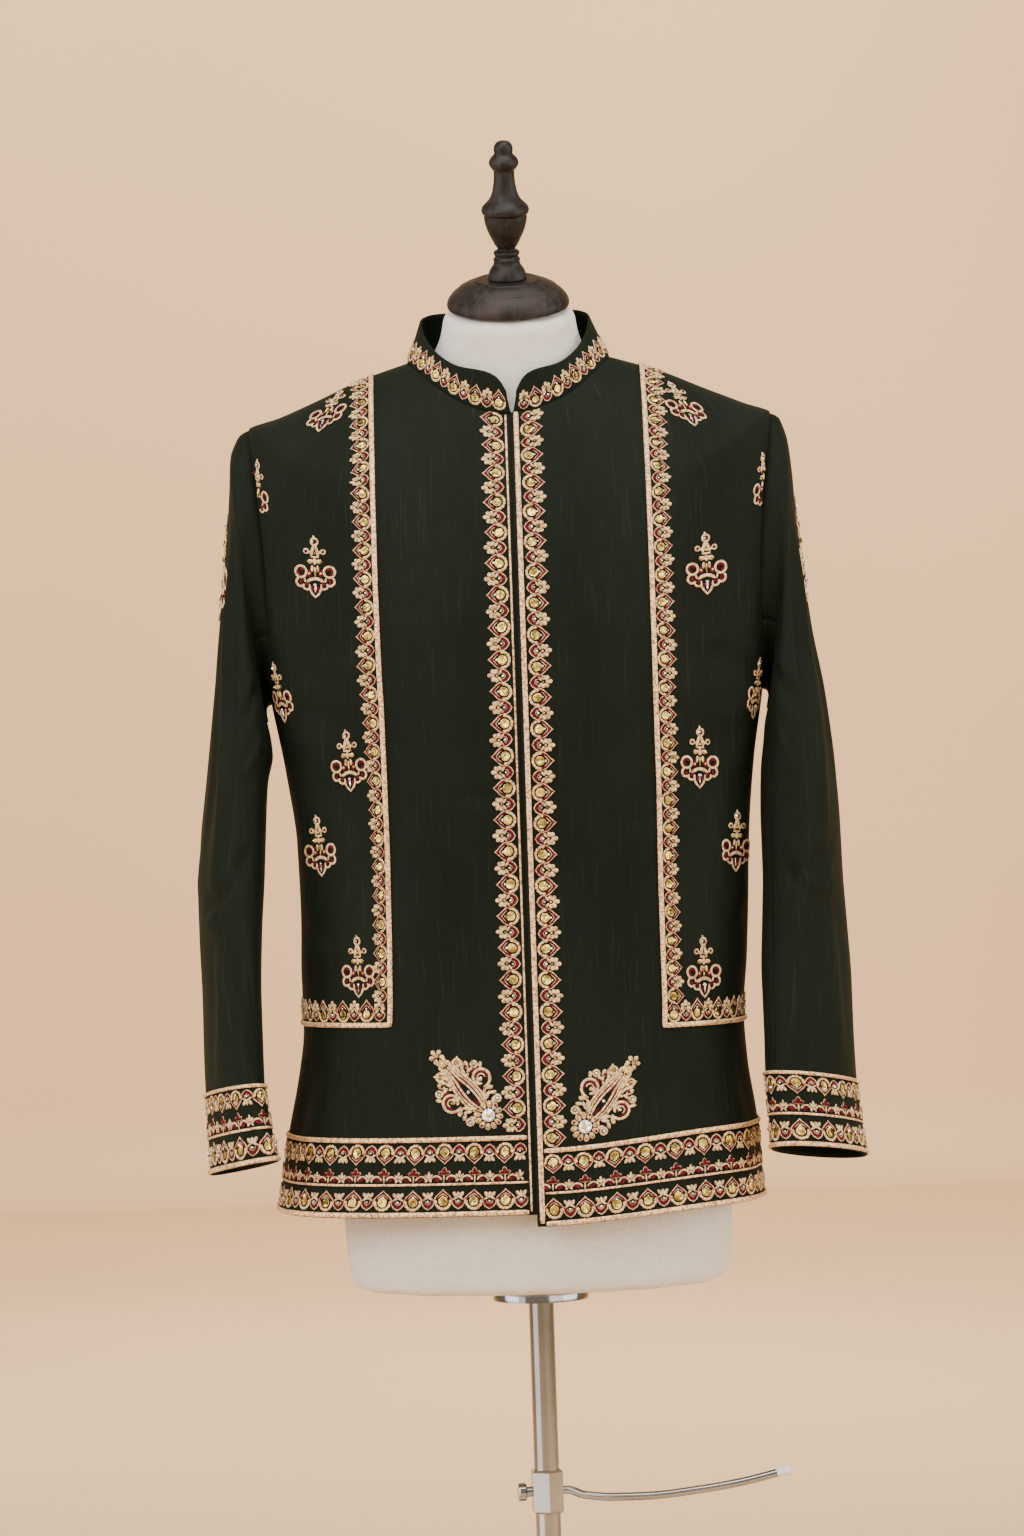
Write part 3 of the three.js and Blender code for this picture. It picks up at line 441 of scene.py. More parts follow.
def body_lift(height, turn):
    """How far the cloth stands off its ring: the folds, which end before the neck and the
    shoulders, and a faint waviness of the whole cloth."""
    place = np.interp(turn, GIRTH_TURNS, GIRTH)
    waves = np.sin(place / 31 + height / 47) * np.sin(height / 63 - place / 88)
    lift = folds(BODY_FOLDS, place, height) + WAVINESS * waves
    calm = smooth((SMOOTH_FROM - height) / SMOOTH_OVER)
    return bpy.context.scene.jacket_sizes.folds * calm * lift


def overlap_lift(x):
    """The left front lies over the right one along the centre."""
    return (WALL + OVERLAP_GAP) * (1 - smooth((x - OVERLAP_EASE[0]) / OVERLAP_EASE[1]))


def body_surface(height, turn, over=False):
    """Point and outward direction of the cloth's outer face."""
    base = ring_point(height, turn)
    normal = body_normal(height, turn)
    lift = body_lift(height, turn)
    if over:
        lift = lift + overlap_lift(base[..., 0])
    return base + normal * lift[..., None], normal


def turn_at(height, x, back):
    """How far round the body a place lies that is x across at a height."""
    level = np.maximum(height, HEM)
    side = np.where(np.asarray(x) < 0, -1.0, 1.0)
    share = np.minimum(1, np.abs(x) / half_width(level, side))
    turn = np.arcsin(share ** (RING["square"](level) / 2))
    return side * (math.pi - turn if back else turn)


def crown(x):
    """Level of the shoulder line, or of the neck ring, at a place across."""
    levels = np.linspace(NECK_RING, SHOULDER_TIP, 900)
    right = np.interp(np.abs(x), half_width(levels, -1), levels)
    left = np.interp(np.abs(x), half_width(levels, 1), levels)
    return np.where(np.asarray(x) < 0, right, left)


class Panel:
    """A front or half of the back. Its places are x across and a row: rows follow the hem
    below, the waist, and the armhole and shoulder above, as the cloth is cut."""

    def __init__(self, side_name, back=False):
        self.name = side_name
        self.side = SIDES[side_name]
        self.back = back
        self.over = side_name == "left" and not back
        self.frame = FRAME_BAND[side_name]

    def drop(self, row, x):
        """How much lower this side hangs."""
        if self.side < 0:
            return np.zeros(np.broadcast(row, x).shape)
        centre = 0 if self.back else LOWER["left_centre"](row)
        return mix(centre, LOWER["left_side"](row), smooth(np.maximum(0, x) / DROP_REACH))

    def armhole(self, row):
        """Height and turn of the outer edge: side seam, then armhole, then shoulder tip."""
        angle = math.pi * (1 - np.maximum(0, row - ARMPIT_ROW) / ARMHOLE_ROWS)
        above = mix(ARMPIT, SHOULDER_TIP, (1 + np.cos(angle)) / 2)
        height = np.where(row <= ARMPIT_ROW, LOWER["height"](row), above)
        scoop = SCOOP["back" if self.back else "front"]
        return height, math.pi / 2 - scoop * np.sin(angle)

    def across(self, column, row):
        """A column up to 1 is a share of the way from the edge to the frame band's far side,
        and past 1 of the way from there to the outer edge."""
        edge = 0 if self.back else FRONT_EDGE[self.name]
        flat = mix(edge, self.frame[1], np.minimum(column, 1))
        height, turn = self.armhole(row)
        start = np.abs(turn_at(height, self.side * self.frame[1], False))
        share = powered(np.sin(mix(start, turn, column - 1)), RING["square"](height))
        return self.side * np.where(column <= 1, flat, half_width(height, self.side) * share)

    def height(self, row, x, top_x=None):
        """Height of a row at x. Above the armpit it is a share of the way to the shoulder."""
        low = LOWER["height"](row) - self.drop(row, x)
        above = np.maximum(0, row - ARMPIT_ROW)
        share = (1 - np.cos(math.pi * above / ARMHOLE_ROWS)) / 2
        high = mix(ARMPIT, crown(x if top_x is None else top_x), share)
        return np.where(row <= ARMPIT_ROW, low, high)

    def place(self, row, x, top_x=None):
        """Height and turn of a place. The last row lies on the shoulder line itself."""
        height = self.height(row, x, top_x)
        turn = turn_at(height, np.where(x == 0, self.side * 1e-6, x), self.back)
        ridge = (row > TOP_ROW - 1e-6) & (np.abs(x) >= half_width(NECK_RING, self.side))
        return height, np.where(ridge, self.side * math.pi / 2, turn)

    def grid(self, columns, rows):
        """Points and directions of the outer face for each column and row."""
        column, row = np.meshgrid(columns, rows, indexing="ij")
        x = self.across(column, row)
        top_x = self.across(column, np.full(row.shape, float(TOP_ROW)))
        height, turn = self.place(row, x, top_x)
        return body_surface(height, turn, self.over)

    def surface(self, row, x):
        """Point and outward direction of a place."""
        height, turn = self.place(row, x)
        return body_surface(height, turn, self.over)


# Sleeves and collar


class Sleeve:
    """A sleeve. Its places are an angle, 0 on the outer side and positive in front, and a row,
    0 at the armhole and 15 at the cuff's edge."""

    def __init__(self, name):
        self.name = name
        self.side = SIDES[name]
        rows = SLEEVES[name]
        self.last = len(rows["depth"])
        index = np.arange(1, self.last + 1, dtype=float)
        self.size = {key: curve(index, rows[key]) for key in rows}

    def mouth(self, angle):
        """The armhole's edge on the body, moved in by the seam's gap."""
        front = np.sin(angle) >= 0
        scoop = np.where(front, SCOOP["front"], SCOOP["back"]) * np.abs(np.sin(angle))
        height = mix(ARMPIT, SHOULDER_TIP, (1 + np.cos(angle)) / 2)
        turn = self.side * np.where(front, math.pi / 2 - scoop, math.pi / 2 + scoop)
        point = ring_point(height, turn)
        normal = body_normal(height, turn)
        tip = self.side * half_width(SHOULDER_TIP, self.side)
        away = np.array([tip, 0, (ARMPIT + SHOULDER_TIP) / 2]) - point
        away = unit(away - normal * (away * normal).sum(-1, keepdims=True))
        return point + away * SLEEVE_GAP

    def ring(self, angle, row):
        """An ellipse about the ring's centre: reach out by cos, depth forward by sin."""
        s = {key: value(row) for key, value in self.size.items()}
        reach = (s["out_x"] - s["in_x"]) / 2
        outward = np.sqrt(reach**2 - s["lead"] ** 2)
        x = (s["out_x"] + s["in_x"]) / 2 + outward * np.cos(angle) - s["lead"] * np.sin(angle)
        y = s["middle"] - s["depth"] * np.sin(angle)
        rise = (s["out_z"] - s["in_z"]) / 2 * np.cos(angle) + s["lift"] * np.sin(angle)
        return np.stack([self.side * x, y, (s["out_z"] + s["in_z"]) / 2 + rise], -1)

    def bare(self, angle, row):
        """The sleeve without folds: from the armhole's edge to the first ring in a straight
        line, then along the rings."""
        share = np.clip(row, 0, 1)[..., None]
        return mix(self.mouth(angle), self.ring(angle, np.maximum(row, 1)), share)

    def surface(self, angle, row):
        """Point and outward direction, with the folds and the roll past the seam."""
        angle, row = np.broadcast_arrays(np.asarray(angle, float), np.asarray(row, float))
        base = self.bare(angle, row)
        around = self.bare(angle + 0.01, row) - self.bare(angle - 0.01, row)
        down = self.bare(angle, np.minimum(row + 0.05, self.last))
        down = down - self.bare(angle, np.maximum(row - 0.05, 0))
        normal = unit(np.cross(around, down))
        outward = base - self.centre(row)
        normal = np.where((normal * outward).sum(-1, keepdims=True) < 0, -normal, normal)
        degrees = np.degrees((angle + math.pi) % (2 * math.pi) - math.pi)
        calm = smooth((row - SLEEVE_CALM["start"]) / SLEEVE_CALM["over"])
        end = self.last - SLEEVE_CALM["before_end"]
        calm = calm * smooth((end - row) / SLEEVE_CALM["end_over"])
        lift = folds(SLEEVE_FOLDS[self.name], degrees, base[..., 2], DEGREE_LENGTH) * calm
        lift = lift * SLEEVE_FOLD * bpy.context.scene.jacket_sizes.folds
        off = (row - SEAM_ROLL["row"]) / SEAM_ROLL["spread"]
        roll = SEAM_ROLL["height"] * np.exp(-(off**2)) * smooth(0.4 + np.cos(angle))
        return base + normal * (lift + roll)[..., None], normal

    def centre(self, row):
        """Centre of a ring."""
        s = {key: self.size[key](np.maximum(row, 1)) for key in self.size}
        x = self.side * (s["out_x"] + s["in_x"]) / 2
        return np.stack([x, s["middle"], (s["out_z"] + s["in_z"]) / 2], -1)

    def outer_line(self):
        """Rows down the outer side, and the length from the armhole at each."""
        rows = np.linspace(0, self.last, SLEEVE_STEPS)
        return rows, lengths(self.bare(np.zeros(SLEEVE_STEPS), rows), 0)


def collar_surface(along, share):
    """A wall that leans from the neck ring to the rim. along goes from the right front end
    round the back to the left one, in radians from the centre front."""
    turn = np.where(along <= math.pi, -along, 2 * math.pi - along)
    side = np.where(along <= math.pi, -1, 1)
    foot = ring_point(NECK_RING, turn) + np.array([0, 0, COLLAR_FOOT_GAP])
    degrees = np.degrees(np.abs(turn))
    wide = np.where(side < 0, COLLAR_TOP["right"], COLLAR_TOP["left"])
    deep = np.where(np.cos(turn) >= 0, COLLAR_TOP["fore"], COLLAR_TOP["aft"])
    rim = np.stack(
        [
            side * (wide * np.abs(np.sin(turn)) + RIM_INSET(degrees)),
            -deep * np.cos(turn),
            RIM_HEIGHT(degrees),
        ],
        -1,
    )
    return mix(foot, rim, np.asarray(share)[..., None])


def collar_place(along, share):
    """Point and outward direction of the collar's outer face."""
    point = collar_surface(along, share)
    around = collar_surface(along + 0.01, share) - collar_surface(along - 0.01, share)
    up = collar_surface(along, share + 0.02) - collar_surface(along, share - 0.02)
    normal = unit(np.cross(up, around))
    outward = np.where((normal * point * [1, 1, 0]).sum(-1, keepdims=True) < 0, -1, 1)
    return point, normal * outward


# Meshes


def oriented(points, groups):
    """Turns every face round if the closed bodies enclose a negative volume."""
    volume = 0.0
    for faces, _, _ in groups:
        for k in range(1, faces.shape[1] - 1):
            a, b, c = points[faces[:, 0]], points[faces[:, k]], points[faces[:, k + 1]]
            volume += (a * np.cross(b, c)).sum()
    if volume >= 0:
        return groups
    return [(faces[:, ::-1], corners[:, ::-1], kinds) for faces, corners, kinds in groups]


def mesh_object(name, points, groups, materials, crisp=None):
    """A mesh from points in millimetres and groups of (faces, corner places, material numbers)."""
    mesh = bpy.data.meshes.new(name)
    loops = np.concatenate([faces.ravel() for faces, _, _ in groups])
    sizes = np.concatenate([np.full(len(f), f.shape[1]) for f, _, _ in groups])
    starts = np.r_[0, np.cumsum(sizes)[:-1]]
    mesh.vertices.add(len(points))
    mesh.vertices.foreach_set("co", (points * MM).astype(np.float32).ravel())
    mesh.loops.add(len(loops))
    mesh.loops.foreach_set("vertex_index", loops.astype(np.int32))
    mesh.polygons.add(len(sizes))
    mesh.polygons.foreach_set("loop_start", starts.astype(np.int32))
    kinds = np.concatenate([k for _, _, k in groups]).astype(np.int32)
    for material in materials:
        mesh.materials.append(material)
    mesh.polygons.foreach_set("material_index", kinds)
    corners = np.concatenate([c.reshape(-1, 2) for _, c, _ in groups]) * MM
    layer = mesh.uv_layers.new(name="cloth")
    layer.data.foreach_set("uv", corners.astype(np.float32).ravel())
    mesh.update(calc_edges=True)
    mesh.shade_smooth()
    if crisp:
        mesh.set_sharp_from_angle(angle=math.radians(crisp))
    made = bpy.data.objects.new(name, mesh)
    bpy.context.scene.collection.objects.link(made)
    return made


def lengths(points, axis):
    """Length from the first point, along one axis of a grid."""
    steps = np.linalg.norm(np.diff(points, axis=axis), axis=-1)
    zero = np.zeros_like(np.take(steps, [0], axis=axis))
    return np.concatenate([zero, np.cumsum(steps, axis=axis)], axis=axis)


def trim(points, first=False, last=False, top=False):
    """Moves a panel's edges in by half a seam's gap."""
    if top:
        points[:, -1] += unit(points[:, -2] - points[:, -1]) * SEAM_HALF_GAP
    if first:
        points[0] += unit(points[1] - points[0]) * SEAM_HALF_GAP
    if last:
        points[-1] += unit(points[-2] - points[-1]) * SEAM_HALF_GAP


def grid_faces(columns, rows):
    """Four-sided faces between the points of a grid."""
    index = np.arange(columns * rows).reshape(columns, rows)
    corners = [index[:-1, :-1], index[1:, :-1], index[1:, 1:], index[:-1, 1:]]
    return np.stack([c.ravel() for c in corners], -1)


def shell(points, normals, thickness):
    """A closed sheet: an outer and an inner grid, with the edges rounded by a third line of
    points between them that stands out by a third of the thickness."""
    columns, rows = points.shape[:2]
    inner = points - normals * thickness
    count = columns * rows
    face = grid_faces(columns, rows)
    index = np.arange(count).reshape(columns, rows)
    edge = np.concatenate([index[:-1, 0], index[-1, :-1], index[:0:-1, -1], index[0, :0:-1]])
    flat = points.reshape(-1, 3)
    beside = np.concatenate(
        [
            np.arange(columns - 1) * rows + 1,
            (columns - 2) * rows + np.arange(rows - 1),
            np.arange(columns - 1, 0, -1) * rows + rows - 2,
            rows + np.arange(rows - 1, 0, -1),
        ]
    )
    inward = unit(flat[beside] - flat[edge])
    middle = (flat[edge] + inner.reshape(-1, 3)[edge]) / 2 - inward * thickness / 3
    everything = np.concatenate([flat, inner.reshape(-1, 3), middle])
    rim = 2 * count + np.arange(len(edge))
    after, rim_after = np.roll(edge, -1), np.roll(rim, -1)
    faces = np.concatenate(
        [
            face,
            face[:, ::-1] + count,
            np.stack([edge, rim, rim_after, after], -1),
            np.stack([rim, edge + count, after + count, rim_after], -1),
        ]
    )
    place = np.stack([lengths(points, 0), lengths(points, 1)], -1).reshape(-1, 2)
    place = np.concatenate([place, place, place[edge]])
    kinds = np.zeros(len(faces), int)
    groups = oriented(everything, [(faces, place[faces], kinds)])
    return everything, groups


def cloth(name, points, normals, thickness):
    """A closed sheet of silk."""
    everything, groups = shell(points, normals, thickness)
    return mesh_object(name, everything, groups, [material("silk")])


def cut_size(points):
    """Width, length and area of a panel laid flat, in metres, from its grid."""
    width = lengths(points, 0)[-1].max() * MM
    length = lengths(points, 1)[:, -1].max() * MM
    a = points[1:, :-1] - points[:-1, :-1]
    b = points[:-1, 1:] - points[:-1, :-1]
    area = np.linalg.norm(np.cross(a, b), axis=-1).sum() * MM * MM
    return width, length, min(area, width * length)


# Embroidery: a motif is a set of closed bodies in millimetres along the band, away from its
# cord, and up from the cloth


GOLD, MAROON, GILT, SILVER, CORD = range(5)
# Motifs lie this far above the cloth, and one made larger rises by no more than this share.
LAID_ABOVE = 0.05
MOST_RISE = 1.2
# A laid cord: the length between its points, and its height as a share of its width.
CORD_STEP = 4.0
CORD_RISE = 0.62


class Motif:
    """Points, groups of faces and the number of the body that each point belongs to."""

    def __init__(self, points, groups, bodies=None):
        self.points = points
        self.groups = groups
        self.bodies = np.zeros(len(points), int) if bodies is None else bodies

    def moved(self, along=0.0, away=0.0, angle=0.0, size=1.0, stretch=1.0):
        """Scaled, turned by an angle in degrees, then moved."""
        c, s = math.cos(math.radians(angle)), math.sin(math.radians(angle))
        x, y = self.points[:, 0] * size, self.points[:, 1] * size * stretch
        up = self.points[:, 2] * min(size, MOST_RISE)
        return Motif(
            np.stack([x * c - y * s + along, x * s + y * c + away, up], -1),
            self.groups,
            self.bodies,
        )

    def repeated(self, places):
        """Copies along the band, one at each place."""
        count, n = len(places), len(self.points)
        points = np.tile(self.points, (count, 1, 1))
        points[:, :, 0] += np.asarray(places)[:, None]
        steps = n * np.arange(count)[:, None, None]
        groups = [
            (
                (faces[None] + steps).reshape(-1, faces.shape[1]),
                np.tile(corners, (count, 1, 1)),
                np.tile(kinds, count),
            )
            for faces, corners, kinds in self.groups
        ]
        body = self.bodies[None] + (self.bodies.max() + 1) * np.arange(count)[:, None]
        return Motif(points.reshape(-1, 3), groups, body.ravel())


def joined(*motifs):
    """Several motifs as one."""
    points, groups, bodies = [], {}, []
    start, body = 0, 0
    for motif in motifs:
        for faces, corners, kinds in motif.groups:
            groups.setdefault(faces.shape[1], []).append((faces + start, corners, kinds))
        points.append(motif.points)
        bodies.append(motif.bodies + body)
        start += len(motif.points)
        body += motif.bodies.max() + 1
    merged = [tuple(np.concatenate(part) for part in zip(*same)) for same in groups.values()]
    return Motif(np.concatenate(points), merged, np.concatenate(bodies))


def thread(path, width, rise=1.0, kind=GOLD, sides=6, taper=0.5, low=0.0):
    """A raised thread: an ellipse, width across and rise high, carried along a flat path and
    narrowed at its ends."""
    path = np.asarray(path, float)
    count = len(path)
    tangent = unit(np.gradient(path, axis=0))
    across = np.stack([tangent[:, 1], -tangent[:, 0]], -1)
    scale = np.ones(count)
    scale[[0, -1]] = taper
    wide = np.broadcast_to(width, count) * scale / 2
    turn = 2 * math.pi * np.arange(sides) / sides
    flat = path[:, None] + across[:, None] * (wide[:, None] * np.cos(turn))[..., None]
    up = low + rise / 2 + rise / 2 * scale[:, None] * np.sin(turn)
    points = np.concatenate([flat, up[..., None]], -1).reshape(-1, 3)
    ring, side = np.meshgrid(np.arange(count - 1), np.arange(sides), indexing="ij")
    beside = (side + 1) % sides
    faces = [ring * sides + side, ring * sides + beside]
    faces = np.stack([*faces, (ring + 1) * sides + beside, (ring + 1) * sides + side], -1)
    along = lengths(path, 0)
    u = np.stack([along[ring], along[ring], along[ring + 1], along[ring + 1]], -1)
    v = np.stack([side, side + 1, side + 1, side], -1) * 1000 / sides
    faces = faces.reshape(-1, 4)
    corners = np.stack([u, v], -1).reshape(-1, 4, 2)
    ends = np.stack([np.arange(sides)[::-1], (count - 1) * sides + np.arange(sides)])
    quads = (faces, corners, np.full(len(faces), kind))
    caps = (ends, np.zeros((2, sides, 2)), np.full(2, kind))
    return Motif(points, oriented(points, [quads, caps]))


def disc(centre, radius, kind=GILT, sides=12, tilt=0.0, height=0.7):
    """A cupped sequin: a rim, a dished face and a flat underside."""
    profile = np.array([[0.25, 0.45], [0.7, 0.6], [1.0, 1.0], [1.0, 0.5]])
    turn = 2 * math.pi * np.arange(sides) / sides
    rings = [
        np.stack([r * radius * np.cos(turn), r * radius * np.sin(turn), np.full(sides, h)], -1)
        for r, h in profile
    ]
    points = np.concatenate(rings)
    points[:, 2] = points[:, 2] * height + tilt * points[:, 0] / radius + 0.35
    points[:, :2] += centre
    return lathe_motif(points, len(profile), sides, kind)


def bead(centre, radius, kind=SILVER, sides=8, rise=1.0):
    """A round bead that sits on the cloth."""
    angles = np.radians([-50, -5, 35, 68])
    turn = 2 * math.pi * np.arange(sides) / sides
    rings = [
        np.stack(
            [
                radius * math.cos(a) * np.cos(turn),
                radius * math.cos(a) * np.sin(turn),
                np.full(sides, radius * rise * (0.78 + math.sin(a))),
            ],
            -1,
        )
        for a in angles
    ]
    points = np.concatenate(rings)
    points[:, :2] += centre
    return lathe_motif(points, len(angles), sides, kind)


def lathe_motif(points, rings, sides, kind):
    """Joins rings of points into one closed body."""
    ring, side = np.meshgrid(np.arange(rings - 1), np.arange(sides), indexing="ij")
    beside = (side + 1) % sides
    low, high = ring * sides, (ring + 1) * sides
    faces = np.stack([low + side, low + beside, high + beside, high + side], -1).reshape(-1, 4)
    ends = np.stack([np.arange(sides)[::-1], (rings - 1) * sides + np.arange(sides)])
    quads = (faces, points[faces][..., :2], np.full(len(faces), kind))
    caps = (ends, points[ends][..., :2], np.full(2, kind))
    return Motif(points, oriented(points, [quads, caps]))


def arc(centre, radius, start, end, count):
    """Points on a circle between two angles in degrees."""
    angle = np.radians(np.linspace(start, end, count))
    return np.stack([centre[0] + radius * np.cos(angle), centre[1] + radius * np.sin(angle)], -1)


def mirrored(path):
    """A half outline that ends on the centre line, with its other half."""
    path = np.asarray(path, float)
    return np.concatenate([path, path[-2::-1] * [-1, 1]])


def rounded(path, count):
    """A smooth path through a few points, by the same cubics as the outlines."""
    path = np.asarray(path, float)
    place = lengths(path, 0)
    at = np.linspace(0, place[-1], count)
    return np.stack([curve(place, path[:, 0])(at), curve(place, path[:, 1])(at)], -1)


def petal(start, end, width, rise=1.1, kind=GOLD, bend=0.0, count=5, low=0.0, full=False):
    """A pad of thread from one point to another, leaf-shaped or, if full, with a round end."""
    start, end = np.asarray(start, float), np.asarray(end, float)
    t = np.linspace(0, 1, count)[:, None]
    side = np.array([end[1] - start[1], start[0] - end[0]])
    path = mix(start, end, t) + side * bend * np.sin(math.pi * t)
    leaf = 0.35 + 0.65 * np.sin(math.pi * np.linspace(0.12, 0.86, count))
    blunt = np.interp(np.linspace(0, 1, count), [0, 0.3, 0.7, 1], [0.55, 0.8, 1.0, 0.8])
    return thread(path, width * (blunt if full else leaf), rise, kind, low=low)


def lobes(centre, reaches, width, kind=GOLD, inner=0.3, rise=1.5):
    """Round-ended petals fanned about a centre, each with its angle in degrees and reach."""
    made = []
    for angle, reach in reaches:
        way = np.array([math.cos(math.radians(angle)), math.sin(math.radians(angle))])
        here = np.asarray(centre, float)
        start, end = here + way * reach * inner, here + way * reach
        made.append(petal(start, end, width, rise, kind, full=True))
    return made


def ringlet(centre, radius, width, kind=GOLD, count=11):
    """A closed ring of thread."""
    return thread(arc(centre, radius, 90, 450, count), width, 1.3, kind, taper=1.0)


def scroll(centre, radius, start, end, width, kind=GOLD, inward=0.35, count=14):
    """A spiral thread that winds in to a share of its radius."""
    angle = np.radians(np.linspace(start, end, count))
    size = radius * mix(1, inward, np.linspace(0, 1, count))
    path = [centre[0] + size * np.cos(angle), centre[1] + size * np.sin(angle)]
    return thread(np.stack(path, -1), width, 1.1, kind)


def mirrored_scroll(side, centre, radius, start, end, width, kind=GOLD, inward=0.35, count=14):
    """A scroll on one side of a motif's axis; start and end are given for the right one."""
    if side < 0:
        start, end = 180 - start, 180 - end
    return scroll((side * centre[0], centre[1]), radius, start, end, width, kind, inward, count)


SEQUIN_PLACE = 8.4


def medallion(reach=22.2):
    """A gilt sequin in a beaded ring, under a pointed band of maroon between gold lines, whose
    tip is reach from the cord."""
    around = np.radians(np.linspace(168, 372, 25))
    ring = np.stack([6.4 * np.cos(around), 8.5 + 6.4 * np.sin(around)], -1)
    beaded = 1.7 + 1.2 * np.abs(np.sin(np.linspace(0, 8 * math.pi, 25)))
    outer = mirrored([(-7.3, 9.8), (-7.5, 12.0), (-5.5, 15.2), (-2.7, 18.3), (-0.9, 20.4), (0, 22.2)])
    band = mirrored([(-6.0, 10.4), (-6.0, 12.2), (-4.1, 15.2), (-1.7, 17.9), (0, 19.5)])
    inner = mirrored([(-4.6, 12.4), (-3.0, 14.6), (-1.1, 16.4), (0, 17.2)])
    share = (reach - SEQUIN_PLACE) / (outer[5, 1] - SEQUIN_PLACE)
    for path in (outer, band, inner):
        path[:, 1] = SEQUIN_PLACE + (path[:, 1] - SEQUIN_PLACE) * share
    return joined(
        thread(ring, beaded, 1.5),
        thread(outer, 1.0, 1.2),
        thread(band, 3.1 * share**0.5, 1.2, MAROON),
        thread(inner, 0.7, 1.4),
        disc((0, SEQUIN_PLACE), 4.1, tilt=0.5),
        bead((0, SEQUIN_PLACE + 5.4 * share), 1.3),
    )


def cup():
    """A pointed cup of maroon between gold lines that holds a silver bead."""
    return [
        thread(mirrored([(-5.5, 10.2), (-5.4, 6.8), (-3.2, 3.8), (0, 2.0)]), 1.0, 1.2),
        thread(mirrored([(-4.1, 9.9), (-3.9, 7.2), (-2.2, 5.1), (0, 3.8)]), 2.7, 1.2, MAROON),
        thread(mirrored([(-2.5, 9.4), (-2.1, 7.5), (0, 6.0)]), 0.7, 1.4),
        bead((0, 8.5), 1.35),
    ]


def tulip():
    """The cup under a fan of five round-ended petals."""
    fan = [(6, 5.6), (46, 6.8), (90, 8.2), (134, 6.8), (174, 5.6)]
    arms = [petal((s * 4.8, 9.4), (s * 0.9, 12.4), 2.3, 1.4) for s in (-1, 1)]
    return joined(*cup(), *arms, *lobes((0, 13.4), fan, 4.1), bead((0, 13.6), 1.2, GILT, sides=6))


def lily():
    """The cup over a narrow skirt of three petals, with two crossed strokes at its waist."""
    skirt = [petal((s * 0.6, 11.2), (s * 4.4, 16.2), 3.2, 1.4, full=True) for s in (-1, 1)]
    arms = [petal((s * 4.9, 9.8), (-s * 0.6, 12.6), 1.9, 1.5) for s in (-1, 1)]
    return joined(*cup(), *arms, *skirt, petal((0, 11.2), (0, 16.4), 3.1, 1.6, full=True))


def fleur():
    """A maroon trefoil edged with gold, between two arches with a leaf under each, and a
    small gold one."""
    parts = [
        thread([(0, 0.8), (0, 4.0), (0, 8.2)], 1.8, 1.2),
        petal((0, 7.2), (0, 15.2), 4.6, 0.8),
        petal((0, 8.0), (0, 14.6), 3.6, 1.0, MAROON, low=0.5),
        petal((13.4, 4.4), (13.4, 11.6), 2.6, 1.3),
    ]
    for s in (-1, 1):
        parts += [
            thread(arc((s * 6.8, 2.4), 4.5, 6, 174, 9), 2.0, 1.3),
            petal((s * 4.2, 1.0), (s * 9.0, 4.9), 3.5, 1.2, MAROON, bend=-s * 0.12),
            petal((s * 0.4, 8.0), (s * 4.9, 10.8), 3.8, 0.8),
            petal((s * 1.0, 8.4), (s * 4.5, 10.5), 3.0, 1.0, MAROON, low=0.5),
            petal((13.4 + s * 0.5, 5.2), (13.4 + s * 3.3, 8.8), 2.1, 1.2),
            petal((13.4 + s * 0.4, 4.2), (13.4 + s * 2.8, 1.2), 2.1, 1.2),
        ]
    return joined(*parts)


def pair(second=tulip, way=1, reach=22.2):
    """One repeat of a border: a medallion, and another motif half a repeat on."""
    return joined(medallion(reach), second().moved(along=way * 13.4))


def spaced(low, high, repeat, offset=0.0):
    """Places of whole repeats between two ends."""
    count = max(1, round((high - low) / repeat))
    step = (high - low) / count
    return low + step * (np.arange(count) + 0.25 + offset), step / repeat


def row_of(motif, low, high, away=0.0, size=1.0, stretch=1.0, point=1, offset=0.0):
    """Repeats along a band. point is -1 where they point down, and offset a share of a repeat."""
    repeat = size_of("repeat") * size
    places, fit = spaced(low, high, repeat, offset)
    shape = motif.moved(size=size * fit, stretch=stretch * point / fit)
    made = Motif(shape.points + [0, away, 0], shape.groups, shape.bodies).repeated(places)
    return wobbled(made)


def wobbled(motif):
    """Handwork is never even: a slow waver of less than half a millimetre."""
    points = motif.points.copy()
    points[:, 0] += 0.4 * np.sin(points[:, 0] / 17.3 + points[:, 1] / 7.1)
    points[:, 1] += 0.35 * np.sin(points[:, 0] / 11.9 + 1.3)
    return Motif(points, motif.groups, motif.bodies)


def cord(low, high, away, width):
    """A laid cord along the band."""
    count = max(3, int((high - low) / CORD_STEP))
    along = np.linspace(low, high, count)
    path = np.stack([along, np.full(count, away)], -1)
    return thread(path, width, width * CORD_RISE, CORD, sides=8, taper=0.75)


